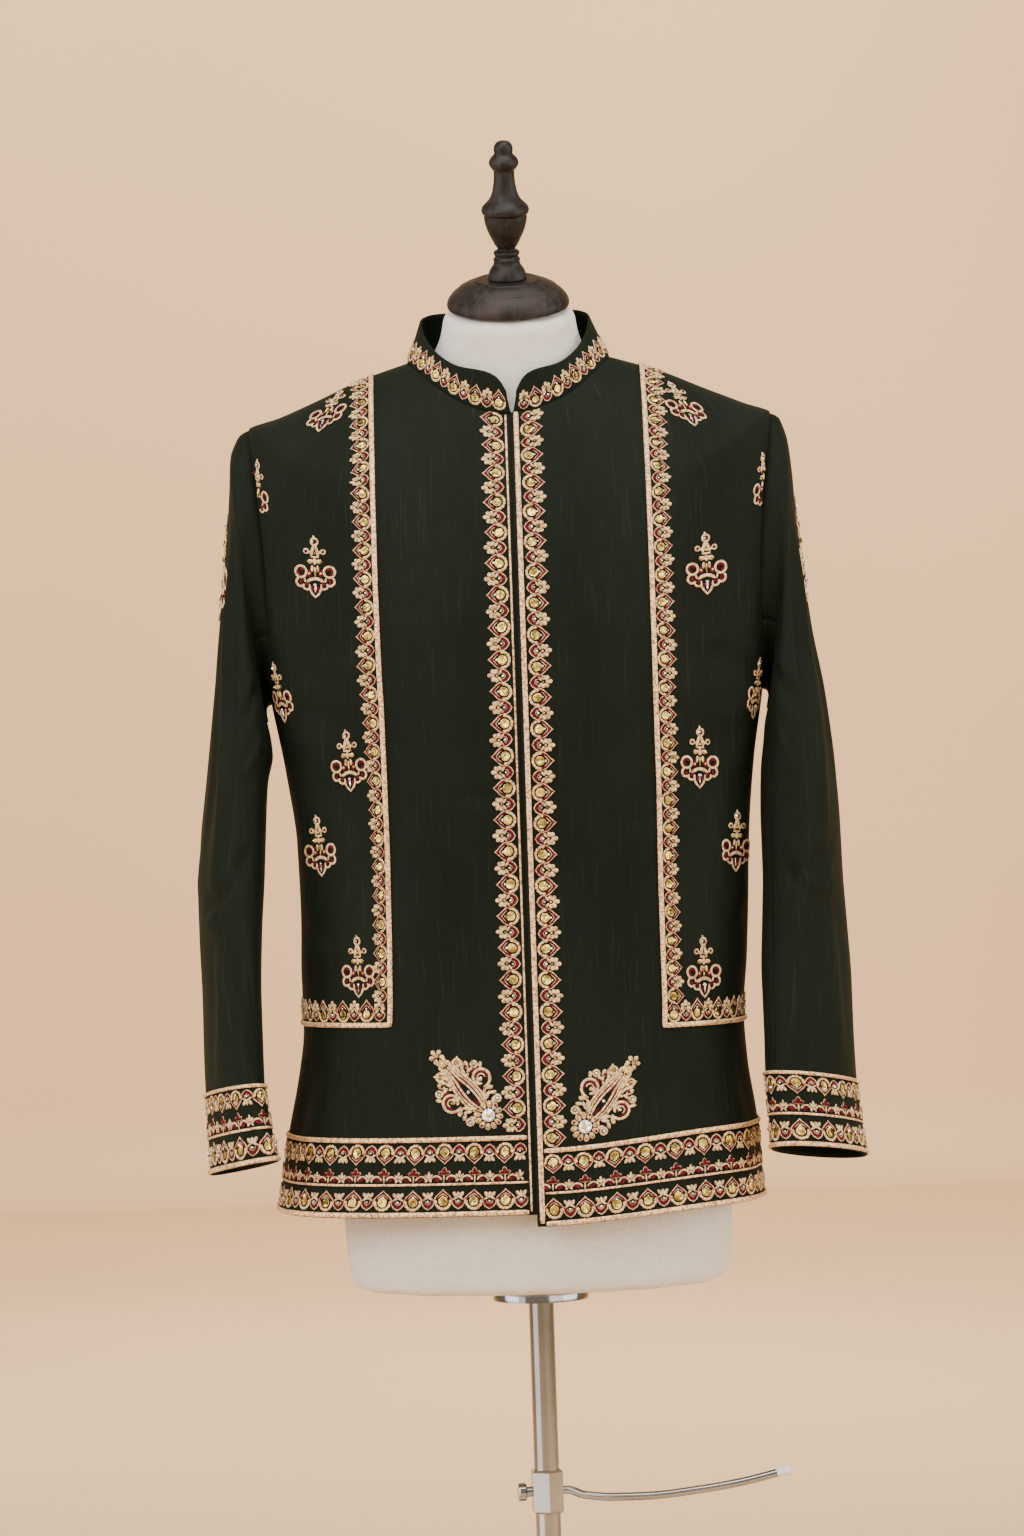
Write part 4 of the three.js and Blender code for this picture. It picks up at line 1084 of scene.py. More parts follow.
class Stitching:
    """Motifs laid on surfaces, gathered for one piece."""

    def __init__(self):
        self.parts = []

    def lay(self, motif, place, inside=None):
        """place turns (along, away) into points and directions of the cloth. Bodies that
        leave the cloth, where inside is given, are left out."""
        points, normals = place(motif.points[:, 0], motif.points[:, 1])
        laid = points + normals * (motif.points[:, 2] + LAID_ABOVE)[:, None]
        groups = motif.groups
        if inside is not None:
            out = np.unique(motif.bodies[~inside(motif.points[:, 0], motif.points[:, 1])])
            keep = ~np.isin(motif.bodies, out)
            groups = [tuple(part[keep[f[:, 0]]] for part in (f, c, k)) for f, c, k in groups]
        self.parts.append(Motif(laid, oriented(laid, groups), motif.bodies))

    def make(self, name):
        """One mesh of everything laid, without the points of what was left out."""
        whole = joined(*self.parts)
        used = np.unique(np.concatenate([faces.ravel() for faces, _, _ in whole.groups]))
        number = np.full(len(whole.points), -1)
        number[used] = np.arange(len(used))
        groups = [(number[faces], corners, kinds) for faces, corners, kinds in whole.groups]
        return mesh_object(name, whole.points[used], groups, embroidery_materials())


class Column:
    """Places on a panel by the length down from the top at one column, and x across."""

    def __init__(self, panel, x, top=TOP_ROW, bottom=0.0):
        self.panel = panel
        rows = np.linspace(top, bottom, COLUMN_STEPS)
        points, _ = panel.surface(rows, np.full(rows.shape, float(x)))
        self.rows = rows
        self.down = lengths(points, 0)
        self.heights = points[:, 2]
        self.length = self.down[-1]

    def at(self, down, x):
        """Point and direction at a length down and x across."""
        row = np.interp(down, self.down, self.rows)
        return self.panel.surface(row, x)

    def down_at(self, z):
        """Length down to a height."""
        return float(np.interp(-z, -self.heights, self.down))


class Hoop:
    """Places round the body by length from the centre front at one height."""

    def __init__(self, height):
        self.length = girth(height)

    def turn(self, length):
        """How far round a length reaches."""
        return np.interp(length, self.length, GIRTH_TURNS)

    def at_turn(self, turn):
        """Length to a turn."""
        return float(np.interp(turn, GIRTH_TURNS, self.length))


# Motifs of the fronts and sleeves


def spot():
    """A small spot motif, about 37 by 52 mm: a bud and a cross on a stem over paired rings
    with a hanging drop. Its middle is at the origin."""
    parts = [
        ringlet((0, 21.5), 2.9, 2.1),
        bead((-1.1, 21.5), 1.5),
        petal((1.4, 19.4), (1.4, 23.6), 1.9, 1.4, MAROON),
        petal((-0.2, 23.6), (-0.8, 27.0), 2.0, 1.3),
        bead((0, 11.4), 1.3, GILT),
        petal((-3.9, 8.3), (3.9, 8.3), 2.0, 1.4),
        petal((0, 7.4), (0, 1.8), 3.7, 1.5, full=True),
        thread(rounded([(-7.4, -13.2), (-4, -11), (0, -10.1), (4, -11), (7.4, -13.2)], 9), 3.0, 1.3),
        petal((0, 0.4), (0, -8.6), 2.2, 1.2, GILT),
        thread(mirrored([(-4.8, -15), (-5.2, -18.6), (-3.2, -22.8), (0, -26.2)]), 2.1, 1.4),
        petal((0, -14.4), (0, -22.4), 2.0, 1.7, SILVER),
        bead((0, -15.6), 1.6),
    ]
    for s in (-1, 1):
        parts += [
            petal((s * 0.6, 18.9), (s * 3.3, 8.6), 3.1, 1.4),
            ringlet((s * 7.3, 13.1), 1.9, 1.6, count=9),
            bead((s * 7.3, 13.1), 1.2, MAROON, sides=6),
            petal((s * 2.0, 12.8), (s * 5.8, 11.8), 2.4, 1.2),
            petal((s * 0.8, 4.9), (s * 6.4, 4.2), 4.2, 1.5, full=True),
            bead((s * 5.2, 4.4), 1.5, GILT, sides=6),
            petal((s * 2.3, 1.2), (s * 2.7, -4.4), 2.7, 1.4),
            petal((s * 5.0, -2.8), (s * 4.9, -9.0), 4.6, 1.2, MAROON),
            bead((s * 5.0, -5.8), 1.1, GOLD, sides=6),
            ringlet((s * 12.3, -4.4), 4.8, 2.2, count=17),
            mirrored_scroll(s, (12.3, -4.4), 2.8, -100, 170, 1.7, MAROON, 0.75, 9),
            mirrored_scroll(s, (12.7, -13.0), 3.9, 70, -150, 2.2, GOLD, 0.9, 11),
            petal((s * 12.4, -11.0), (s * 13.0, -15.4), 2.6, 1.1, MAROON),
            petal((s * 9.4, -9.4), (s * 8.6, -13.4), 2.0, 1.2),
            petal((s * 5.9, -12.8), (s * 7.9, -16.8), 3.0, 1.2, MAROON),
            mirrored_scroll(s, (7.3, -16.2), 3.3, 0, -165, 1.9, GOLD, 0.95, 9),
            petal((s * 2.3, -16.2), (s * 2.5, -21.2), 2.3, 1.2, MAROON),
        ]
    return joined(*parts)


def leaf_sprig():
    """A leaf of scrolls, about 54 by 84 mm: a clear stone in a ring of petals at its base,
    parallel cords up its spine with a scroll on either side, and a star bud at its tip."""
    parts = [
        disc((0, -27), 5.6, SILVER, sides=16, height=1.6),
        bead((0, -27), 1.9, GILT),
        bead((0, -1), 1.7, sides=10),
        thread([(0, -19), (0.2, -13), (0, -8)], 1.8, 1.2, MAROON),
        thread([(0, 6), (0.3, 14), (0, 20), (0, 28)], 1.6, 1.2, MAROON),
        petal((0, 27), (0, 36), 3.0, 1.7, GILT),
        petal((0, 41), (0, 46), 2.8, 1.3),
        bead((0, 39), 1.8, GILT, sides=10),
        *lobes((0, 39), [(25 + 65 * k, 6.4) for k in range(-1, 4)], 4.4),
        *lobes((0, -27), [(105 + 30 * k, 12.4) for k in range(12)], 4.9, inner=0.5, rise=1.6),
    ]
    for k in range(12):
        angle = math.radians(105 + 30 * k)
        place = (10.4 * math.cos(angle), -27 + 10.4 * math.sin(angle))
        parts.append(bead(place, 1.35, MAROON if k % 3 == 0 else GILT, sides=6, rise=1.3))
    for s in (-1, 1):
        for x in (1.8, 4.4, 6.9):
            line = [(s * x * 0.9, -18), (s * (x + 1.9), -7), (s * (x + 1.7), 3), (s * x, 13)]
            line.append((s * x * 0.55, 27))
            parts.append(thread(rounded(line, 10), 2.1, 1.5))
        line = [(s * 4.6, -10), (s * 5.4, -2), (s * 4.9, 6), (s * 3.2, 15)]
        parts += [
            thread(rounded(line, 7), 1.2, 1.7, MAROON),
            mirrored_scroll(s, (16.4, 1.6), 8.7, -115, 245, 2.5, GOLD, 0.6, 22),
            mirrored_scroll(s, (16.2, 1.4), 5.7, -60, 190, 1.9, MAROON, 0.75, 12),
            mirrored_scroll(s, (16.6, 1.4), 3.6, -30, 260, 1.5, GOLD, 0.6, 10),
            bead((s * 16.2, 1.0), 1.5, SILVER if s > 0 else GILT),
            petal((s * 5.2, -15.5), (s * 12.6, -7.6), 3.4, 1.4),
            petal((s * 7.2, -9.2), (s * 10.4, -4.4), 2.4, 1.2, MAROON),
            petal((s * 8.0, -15.4), (s * 14.4, -11.6), 2.8, 1.3),
            ringlet((s * 15.4, -21.0), 2.8, 2.4, count=9),
            bead((s * 15.4, -21.0), 1.4),
            petal((s * 9.4, -21.6), (s * 13.6, -18.0), 3.4, 1.4),
            petal((s * 12.4, -9.0), (s * 20.4, -5.6), 2.6, 1.3),
            petal((s * 9.2, -2.0), (s * 8.2, 6.4), 2.4, 1.3),
            petal((s * 12.0, 9.4), (s * 18.0, 10.4), 2.0, 1.2, MAROON),
            petal((s * 5.4, 9.4), (s * 11.4, 11.2), 3.0, 1.3),
            petal((s * 3.6, 15.6), (s * 7.4, 20.8), 3.4, 1.4),
            petal((s * 8.2, 11.8), (s * 9.4, 19.6), 2.6, 1.2),
            petal((s * 10.6, 12.8), (s * 17.0, 12.4), 2.8, 1.3),
            ringlet((s * 9.3, 24.2), 3.2, 2.5),
            bead((s * 9.3, 24.2), 1.5, GILT, sides=6),
            ringlet((s * 19.6, 13.8), 2.6, 2.2, count=9),
            bead((s * 19.6, 13.8), 1.4),
            bead((s * 13.2, 17.2), 1.5, MAROON, sides=6),
            petal((s * 2.2, 26.4), (s * 5.8, 28.6), 2.4, 1.2),
            petal((s * 2.0, 28.0), (s * 3.4, 36.6), 3.8, 1.4, full=True),
            petal((s * 5.0, 25.2), (s * 4.4, 31.6), 2.6, 1.3),
            petal((s * 12.4, 13.6), (s * 15.6, 20.8), 4.2, 1.3, full=True),
            petal((s * 9.4, 16.4), (s * 13.2, 23.6), 3.6, 1.3, full=True),
            petal((s * 6.6, 20.4), (s * 13.4, 28.4), 2.8, 1.2, full=True),
            petal((s * 14.2, -8.4), (s * 19.2, -11.2), 4.2, 1.3, full=True),
            petal((s * 21.4, 7.4), (s * 25.0, 12.0), 3.4, 1.3, full=True),
            petal((s * 12.6, -12.6), (s * 18.6, -16.4), 3.4, 1.3, full=True),
            petal((s * 11.6, -2.4), (s * 13.2, 4.8), 2.6, 1.1),
        ]
    return joined(*parts)


# Shader maths


class Value:
    """A node's output as a number: each operator adds one Math node."""

    def __init__(self, recipe, socket):
        self.recipe = recipe
        self.socket = socket

    def maths(self, operation, first, second=None):
        """A Math node on one or two values."""
        inputs = {0: first} if second is None else {0: first, 1: second}
        made = self.recipe.node("ShaderNodeMath", {"operation": operation}, inputs)
        return Value(self.recipe, made.outputs[0])

    def __add__(self, other):
        return self.maths("ADD", self, other)

    def __radd__(self, other):
        return self.maths("ADD", other, self)

    def __sub__(self, other):
        return self.maths("SUBTRACT", self, other)

    def __rsub__(self, other):
        return self.maths("SUBTRACT", other, self)

    def __mul__(self, other):
        return self.maths("MULTIPLY", self, other)

    def __rmul__(self, other):
        return self.maths("MULTIPLY", other, self)

    def sine(self):
        """Sine of the value in radians."""
        return self.maths("SINE", self)

    def within(self, low, high):
        """0 below low, 1 above high, smooth between."""
        settings = {"interpolation_type": "SMOOTHSTEP"}
        made = self.recipe.node("ShaderNodeMapRange", settings, {0: self, 1: low, 2: high})
        return Value(self.recipe, made.outputs[0])


class Recipe:
    """A material's nodes round one Principled shader."""

    def __init__(self, name, **constants):
        self.material = bpy.data.materials.new(name)
        self.material.use_nodes = True
        self.tree = self.material.node_tree
        self.shader = self.tree.nodes["Principled BSDF"]
        self.set(**constants)

    def node(self, kind, settings=None, inputs=None):
        """Adds a node: its settings first, then the values or links of its sockets."""
        made = self.tree.nodes.new(kind)
        for key, value in (settings or {}).items():
            setattr(made, key, value)
        for key, value in (inputs or {}).items():
            self.feed(made.inputs[key], value)
        return made

    def feed(self, socket, value):
        """Links a socket, or sets it to a constant."""
        if isinstance(value, Value):
            self.tree.links.new(value.socket, socket)
        elif isinstance(value, bpy.types.NodeSocket):
            self.tree.links.new(value, socket)
        elif hasattr(value, "__len__") and socket.type == "RGBA":
            socket.default_value = (*value[:3], 1)
        else:
            socket.default_value = value

    def set(self, **values):
        """Feeds the shader's sockets; a name's underscores are the socket's spaces."""
        for name, value in values.items():
            self.feed(self.shader.inputs[name.replace("_", " ")], value)

    def place(self, source="Object", scale=(1, 1, 1), rotation=(0, 0, 0)):
        """Coordinates in metres, times scale."""
        where = self.node("ShaderNodeTexCoord").outputs[source]
        inputs = {"Vector": where, "Scale": scale, "Rotation": rotation}
        return self.node("ShaderNodeMapping", None, inputs).outputs[0]

    def noise(self, vector, scale=1.0, detail=3.0, distortion=0.0):
        """A noise between 0 and 1."""
        inputs = {"Vector": vector, "Scale": scale, "Detail": detail, "Distortion": distortion}
        return Value(self, self.node("ShaderNodeTexNoise", None, inputs).outputs[0])

    def part(self, vector, axis):
        """One of a vector's numbers."""
        made = self.node("ShaderNodeSeparateXYZ", None, {0: vector})
        return Value(self, made.outputs["XYZ".index(axis)])

    def blend(self, share, first, second):
        """A colour between two, by share."""
        made = self.node("ShaderNodeMix", {"data_type": "RGBA"}, {"Factor": share})
        self.feed(made.inputs[6], first)
        self.feed(made.inputs[7], second)
        return made.outputs[2]

    def bump(self, height, distance, strength=1.0):
        """distance is the real height of the relief in metres."""
        inputs = {"Height": height, "Distance": distance, "Strength": strength}
        self.set(Normal=self.node("ShaderNodeBump", None, inputs).outputs[0])


def shade(colour, factor):
    """A colour made lighter or darker, in plain numbers."""
    return tuple(min(1.0, part * factor) for part in colour)


def silk_material(colour):
    """Dark raw silk: fine cross threads, and slubs that run down the piece."""
    recipe = Recipe("raw_silk", IOR=1.45, Sheen_Weight=0.016, Sheen_Roughness=0.4)
    recipe.set(Sheen_Tint=(0.50, 0.66, 0.50), Specular_IOR_Level=0.06)
    fine = recipe.noise(recipe.place("UV", (2600, 90, 1)), detail=2)
    slub = recipe.noise(recipe.place("UV", (520, 16, 1)), detail=3, distortion=0.4)
    broad = recipe.noise(recipe.place("UV", (14, 6, 1)), detail=2)
    slubs = slub.within(0.56, 0.74)
    weft = recipe.noise(recipe.place("UV", (60, 2400, 1)), detail=1)
    tone = 0.35 * fine + 0.25 * weft + 0.4 * broad
    deep = recipe.blend(tone.within(0.3, 0.7), shade(colour, 0.72), shade(colour, 1.3))
    recipe.set(Base_Color=recipe.blend(slubs * 0.55, deep, shade(colour, 2.1)))
    recipe.set(Roughness=0.66 - 0.1 * slubs + 0.12 * (fine - 0.5))
    recipe.bump(0.5 * fine + 0.9 * slubs + 0.35 * weft, 0.00022)
    return recipe.material


def thread_material(name, colour, metallic, pitch, roughness=0.42, wound=1.0, gloss=0.5):
    """Wound thread: fine stripes round the thread, and a tone that drifts along it. wound is
    how clearly the stripes show."""
    recipe = Recipe(name, IOR=1.5, Specular_IOR_Level=gloss)
    where = recipe.place("UV")
    along, around = recipe.part(where, "X"), recipe.part(where, "Y")
    twist = (along * (2 * math.pi / pitch) + around * (2 * math.pi)).sine()
    drift_and_shade = recipe.noise(recipe.place("Object", (420, 420, 420)), detail=3)
    tone = (drift_and_shade + 0.08 * wound * twist).within(0.34, 0.62)
    # A darker copy of the colour for painted shade and a lighter one for painted highlight, partly
    # also the thread's own tone.
    dark = (colour[0] * 0.36, colour[1] * 0.28, colour[2] * 0.22)
    recipe.set(Base_Color=recipe.blend(tone, dark, shade(colour, 1.2)))
    recipe.set(Metallic=metallic * drift_and_shade.within(0.2, 0.7), Roughness=roughness + 0.2 * (drift_and_shade - 0.5))
    recipe.bump(twist * (0.5 * wound) + drift_and_shade, 0.0004)
    return recipe.material


def gilt_material(name, colour, roughness):
    """Plated discs and beads, each a little different in tone and dulled in spots."""
    recipe = Recipe(name, Metallic=0.95, IOR=1.5)
    where = recipe.place("Object")
    tone = recipe.noise(where, 130, 1)
    spots = recipe.noise(where, 900, 3)
    # The darker and lighter copies of the colour are partly the plating's own tone and partly a
    # painted reflection.
    mixed = recipe.blend(tone.within(0.35, 0.65), shade(colour, 0.4), shade(colour, 1.3))
    recipe.set(Base_Color=mixed, Roughness=roughness + 0.25 * spots.within(0.5, 0.7))
    recipe.bump(tone + 0.04 * spots, 0.007)
    return recipe.material


def linen_material(colour):
    """Off-white woven cover: crossed threads, with thicker ones here and there."""
    recipe = Recipe("linen", Roughness=0.88, Sheen_Weight=0.15, Specular_IOR_Level=0.25)
    warp = recipe.noise(recipe.place("Object", (1500, 1500, 110)), detail=2)
    weft = recipe.noise(recipe.place("Object", (110, 110, 1700)), detail=2)
    soil = recipe.noise(recipe.place("Object", (9, 9, 9)), detail=2)
    tone = 0.4 * warp + 0.4 * weft + 0.2 * soil
    mixed = recipe.blend(tone.within(0.32, 0.66), shade(colour, 0.86), shade(colour, 1.1))
    recipe.set(Base_Color=mixed)
    recipe.bump(warp + weft, 0.00025, 0.8)
    return recipe.material


def wood_material(colour):
    """Turned wood, stained dark: grain along the axis, turning lines round it, worn tops."""
    recipe = Recipe("dark_wood", IOR=1.5, Specular_IOR_Level=0.22)
    lean = (NECK_LEAN, 0, 0)
    grain = recipe.noise(recipe.place("Object", (260, 260, 16), lean), detail=4, distortion=0.6)
    turned = recipe.noise(recipe.place("Object", (8, 8, 900), lean), detail=2)
    # Random patches that are partly rubbed wood and partly a painted sheen.
    wear_and_sheen_noise = recipe.noise(recipe.place("Object", (40, 40, 30)), detail=4)
    wear_and_sheen = wear_and_sheen_noise.within(0.5, 0.75)
    base = recipe.blend(grain.within(0.35, 0.7), shade(colour, 0.55), shade(colour, 1.9))
    # The lighter brown laid over these patches is partly rubbed wood and partly a painted sheen.
    recipe.set(Base_Color=recipe.blend(wear_and_sheen * 0.45, base, (0.050, 0.036, 0.029)))
    recipe.set(Roughness=0.36 + 0.22 * grain + 0.12 * wear_and_sheen)
    recipe.bump(0.7 * grain + 0.3 * turned, 0.0003)
    return recipe.material


def chrome_material():
    """Polished chrome with faint wiping marks."""
    recipe = Recipe("chrome", Metallic=1.0, IOR=1.5)
    marks = recipe.noise(recipe.place("Object", (60, 60, 600)), detail=3)
    haze = recipe.noise(recipe.place("Object", (18, 18, 18)), detail=2)
    recipe.set(Base_Color=recipe.blend(haze, (0.24, 0.24, 0.25), (0.42, 0.42, 0.43)))
    recipe.set(Roughness=0.09 + 0.12 * marks * haze)
    recipe.bump(marks, 0.00002)
    return recipe.material


def plastic_material():
    """Moulded white plastic with a fine grain."""
    recipe = Recipe("white_plastic", IOR=1.46)
    grain = recipe.noise(recipe.place("Object", (1400, 1400, 1400)), detail=2)
    recipe.set(Base_Color=recipe.blend(grain, (0.62, 0.67, 0.70), (0.74, 0.78, 0.80)))
    recipe.set(Roughness=0.45 + 0.1 * grain)
    recipe.bump(grain, 0.00005)
    return recipe.material


def backdrop_material(colour):
    """Matt paper, slightly uneven in tone, which is seen from its front alone."""
    recipe = Recipe("backdrop", Roughness=0.95, Specular_IOR_Level=0.1)
    tone = recipe.noise(recipe.place("Object", (0.35, 0.35, 0.35)), detail=2)
    mixed = recipe.blend(tone.within(0.3, 0.7), shade(colour, 0.94), shade(colour, 1.04))
    recipe.set(Base_Color=mixed)
    behind = Value(recipe, recipe.node("ShaderNodeNewGeometry").outputs["Backfacing"])
    recipe.set(Alpha=1 - behind)
    return recipe.material


MADE = {}


def material(name):
    """A material by its name, made once."""
    if name in MADE:
        return MADE[name]
    colours = bpy.context.scene.jacket_colours
    makers = {
        "silk": lambda: silk_material(tuple(colours.silk)),
        "gold": lambda: thread_material("gold_thread", tuple(colours.gold), 0.3, 0.0011),
        "maroon": lambda: thread_material(
            "maroon_thread", tuple(colours.maroon), 0.0, 0.0011, 0.6, gloss=0.12
        ),
        "cord": lambda: thread_material(
            "gold_cord", shade(tuple(colours.gold), 0.84), 0.3, 0.0026, wound=0.3
        ),
        "gilt": lambda: gilt_material("gilt_sequin", tuple(colours.sequin), 0.22),
        "silver": lambda: gilt_material("silver_bead", (0.86, 0.85, 0.82), 0.12),
        "linen": lambda: linen_material(tuple(colours.linen)),
        "wood": lambda: wood_material(tuple(colours.wood)),
        "chrome": chrome_material,
        "plastic": plastic_material,
        "backdrop": lambda: backdrop_material(tuple(colours.backdrop)),
    }
    MADE[name] = makers[name]()
    return MADE[name]


def embroidery_materials():
    """Materials in the order of GOLD, MAROON, GILT, SILVER and CORD."""
    return [material(name) for name in ("gold", "maroon", "gilt", "silver", "cord")]


# Cloth


# How far a panel reaches past its frame band, how much longer the armhole is than its height,
# and how far each sleeve piece reaches round. They set how many columns or rows a piece has.
PANEL_REACH = 110
ARMHOLE_LONGER = 1.25
SLEEVE_REACH = {"top": 180, "under": 90}
SLEEVE_CELL = 0.8
COLLAR_LENGTH = 500
COLLAR_FRONT = {"turn": 0.5, "columns": 24}
COLLAR_ROWS = 13


def steps(length, cell):
    """Number of points along a length, one cell apart."""
    return max(2, int(round(length / cell)) + 1)


def panel_columns(frame_reach):
    """A panel's columns: 0 to 1 as far as its frame band, and 1 to 2 from there to the side."""
    cell = size_of("cell")
    inner = np.linspace(0, 1, steps(frame_reach, cell))
    return np.r_[inner, np.linspace(1, 2, steps(PANEL_REACH, cell))[1:]]


def panel_rows():
    """A panel's rows: from the hem to the armpit, and from there to the shoulder."""
    cell = size_of("cell")
    tall = ARMHOLE_LONGER * (SHOULDER_TIP - ARMPIT)
    lower = np.linspace(0, ARMPIT_ROW, steps(ARMPIT - HEM, cell))
    upper = np.linspace(ARMPIT_ROW, TOP_ROW, steps(tall, cell))
    return np.r_[lower, upper[1:]]


def declare(piece, body, slot, *nodes):
    """Says which body a piece rides, which solids it replaces and what it is made of."""
    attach(piece, body)
    if nodes:
        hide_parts(*nodes)


def finish_cloth(name, node, points, normals, thickness, *rests_on):
    """Makes a cut piece and states its cut, measured along its own surface."""
    piece = cloth(name, points, normals, thickness)
    declare(piece, "stand", "raw_silk", node)
    width, length, area = cut_size(points)


def make_fronts():
    """The two fronts, each from its front edge to the side seam."""
    for name in SIDES:
        panel = Panel(name)
        columns = panel_columns(panel.frame[1] - FRONT_EDGE[name])
        points, normals = panel.grid(columns, panel_rows())
        trim(points, last=True, top=True)
        thickness = size_of("cloth")
        finish_cloth(f"silk_front_{name}", f"front_{name}", points, normals, thickness, "form_cover")


def make_back():
    """The back in one piece, of two halves that meet on the centre line."""
    halves = []
    for name in ("left", "right"):
        panel = Panel(name, back=True)
        halves.append(panel.grid(panel_columns(panel.frame[1]), panel_rows()))
    points = np.concatenate([halves[0][0][::-1], halves[1][0][1:]])
    normals = np.concatenate([halves[0][1][::-1], halves[1][1][1:]])
    trim(points, first=True, last=True, top=True)
    finish_cloth("silk_back", "back", points, normals, size_of("cloth"), "form_cover")


def sleeve_rows(sleeve):
    """Rows that lie about one cell apart all the way down."""
    fine, down = sleeve.outer_line()
    return np.interp(np.linspace(0, down[-1], steps(down[-1], size_of("cell"))), down, fine)


def make_sleeves():
    """The top and the under piece of each sleeve."""
    reach = TOP_SLEEVE_REACH
    spans = {"top": (-reach, reach), "under": (reach, 2 * math.pi - reach)}
    for name in SIDES:
        sleeve = Sleeve(name)
        rows = sleeve_rows(sleeve)
        for half, (start, end) in spans.items():
            count = steps(SLEEVE_REACH[half], size_of("cell") * SLEEVE_CELL)
            angle, row = np.meshgrid(np.linspace(start, end, count), rows, indexing="ij")
            points, normals = sleeve.surface(angle, row)
            trim(points, first=True, last=True)
            node = f"sleeve_{name}_{half}"
            behind = f"silk_front_{name}", "silk_back"
            finish_cloth(f"silk_{node}", node, points, normals, size_of("cloth"), *behind)


def make_collar():
    """The stand collar, with closer columns where its top edge rounds down at the front."""
    start = float(np.abs(turn_at(NECK_RING, COLLAR_START, False)))
    along = np.linspace(start, 2 * math.pi - start, steps(COLLAR_LENGTH, size_of("cell")))
    front = np.linspace(start, start + COLLAR_FRONT["turn"], COLLAR_FRONT["columns"])
    along = np.unique(np.r_[along, front, 2 * math.pi - front])
    grid = np.meshgrid(along, np.linspace(0, 1, COLLAR_ROWS), indexing="ij")
    points, normals = collar_place(*grid)
    below = "silk_front_right", "silk_front_left", "silk_back"
    finish_cloth("silk_collar", "collar", points, normals, COLLAR_WALL, *below)


# Borders


# Each front edge: where its cord starts, how wide that is, and where the motifs start.
FRONT_CORDS = {"right": (4.8, 1.8, 6.8), "left": (1.0, 4.4, 5.4)}
# Middle of a front band, how near the neck it starts and how near the hem border it ends.
FRONT_BAND = {"middle": 17, "foot_row": 2.0, "top": 0.5, "foot": 2}
CORD_ENDS = (1.5, 2.5)
# A hem border from its edge up: where each row starts, and how wide its cords are.
HEM_ROWS = {"foot": 2.2, "points_up": 4.4, "line": 27.4, "fleurs": 28.4, "points_down": 62.6,
            "top": 65.0}
HEM_CORDS = {"foot": 4.2, "line": 2.0, "top": 4.2}
HEM_REACH = 18.4
FRONT_REACH = 20.6
FRAME_CORD = 4.4
FRAME_SIZE = 0.9
FRAME_NEAR = 0.8
SEAM_CLEAR = 1.0
# One row of a sleeve near the cuff, in millimetres.
CUFF_ROW = 70
EDGE_STEPS = 361
COLLAR_STEPS = 721
COLLAR_BAND = {"clear": 0.02, "up": 1.2, "size": 0.86}
WAIST_ROW = 4
WAIST_LIFT = 2.5
# Along a frame band, by the panel's rows: how far it runs in from its straight course, and
# its width as a share of the full one. It narrows at the waist, which turns away to the side.
FRAME_COURSE = {
    "right": table(
        "row shift share",
        (4, 0, 0.76),
        (6, -2.4, 0.66),
        (7.5, -3.1, 0.66),
        (9, -2.8, 0.76),
        (10, -2.2, 0.86),
        (12, -1.2, 0.92),
        (14, -0.5, 0.92),
        (19, 0, 0.92),
    ),
    "left": table(
        "row shift share",
        (4, -2.0, 0.84),
        (5, -1.0, 0.82),
        (7, -1.2, 0.74),
        (8.5, -0.2, 0.84),
        (10, -0.6, 0.86),
        (12, -0.5, 0.92),
        (19, 0, 0.92),
    ),
}


def hem_rows(stitching, low, high, place):
    """The deep border of a hem or cuff: cord, points up, line, fleurs, points down, cord."""
    both = pair(lily, reach=HEM_REACH)
    motifs = [
        cord(low, high, HEM_ROWS["foot"], HEM_CORDS["foot"]),
        row_of(both, low, high, HEM_ROWS["points_up"]),
        cord(low, high, HEM_ROWS["line"], HEM_CORDS["line"]),
        row_of(fleur(), low, high, HEM_ROWS["fleurs"], stretch=0.86),
        row_of(both, low, high, HEM_ROWS["points_down"], point=-1),
        cord(low, high, HEM_ROWS["top"], HEM_CORDS["top"]),
    ]
    for motif in motifs:
        stitching.lay(motif, place)


def level_place(panel, hoop, level, over):
    """Places of a band that runs level: length round from the centre, and up from the level."""

    def place(along, away):
        turn = hoop.turn(along)
        x = ring_point(level, turn)[..., 0]
        row = np.interp(level + away, LOWER_ROWS["height"], ROW_INDEX)
        return body_surface(level + away - panel.drop(row, x), turn, over)

    return place


def beside(column, side, inner=0.0):
    """Places along a column: length down it, and across from inner."""

    def place(along, away):
        return column.at(along, side * (inner + away))

    return place


def finish_trim(stitching, name, *nodes):
    """Makes what was laid one piece of embroidery."""
    declare(stitching.make(name), "stand", "embroidery", *nodes)


def first_pairs(column, side, low, foot, **settings):
    """A row of pairs down a column. On the left it starts half a repeat later."""
    motif = pair(way=-side, reach=FRONT_REACH)
    return row_of(motif, low, column.length - foot, offset=0.0 if side < 0 else 0.5, **settings)


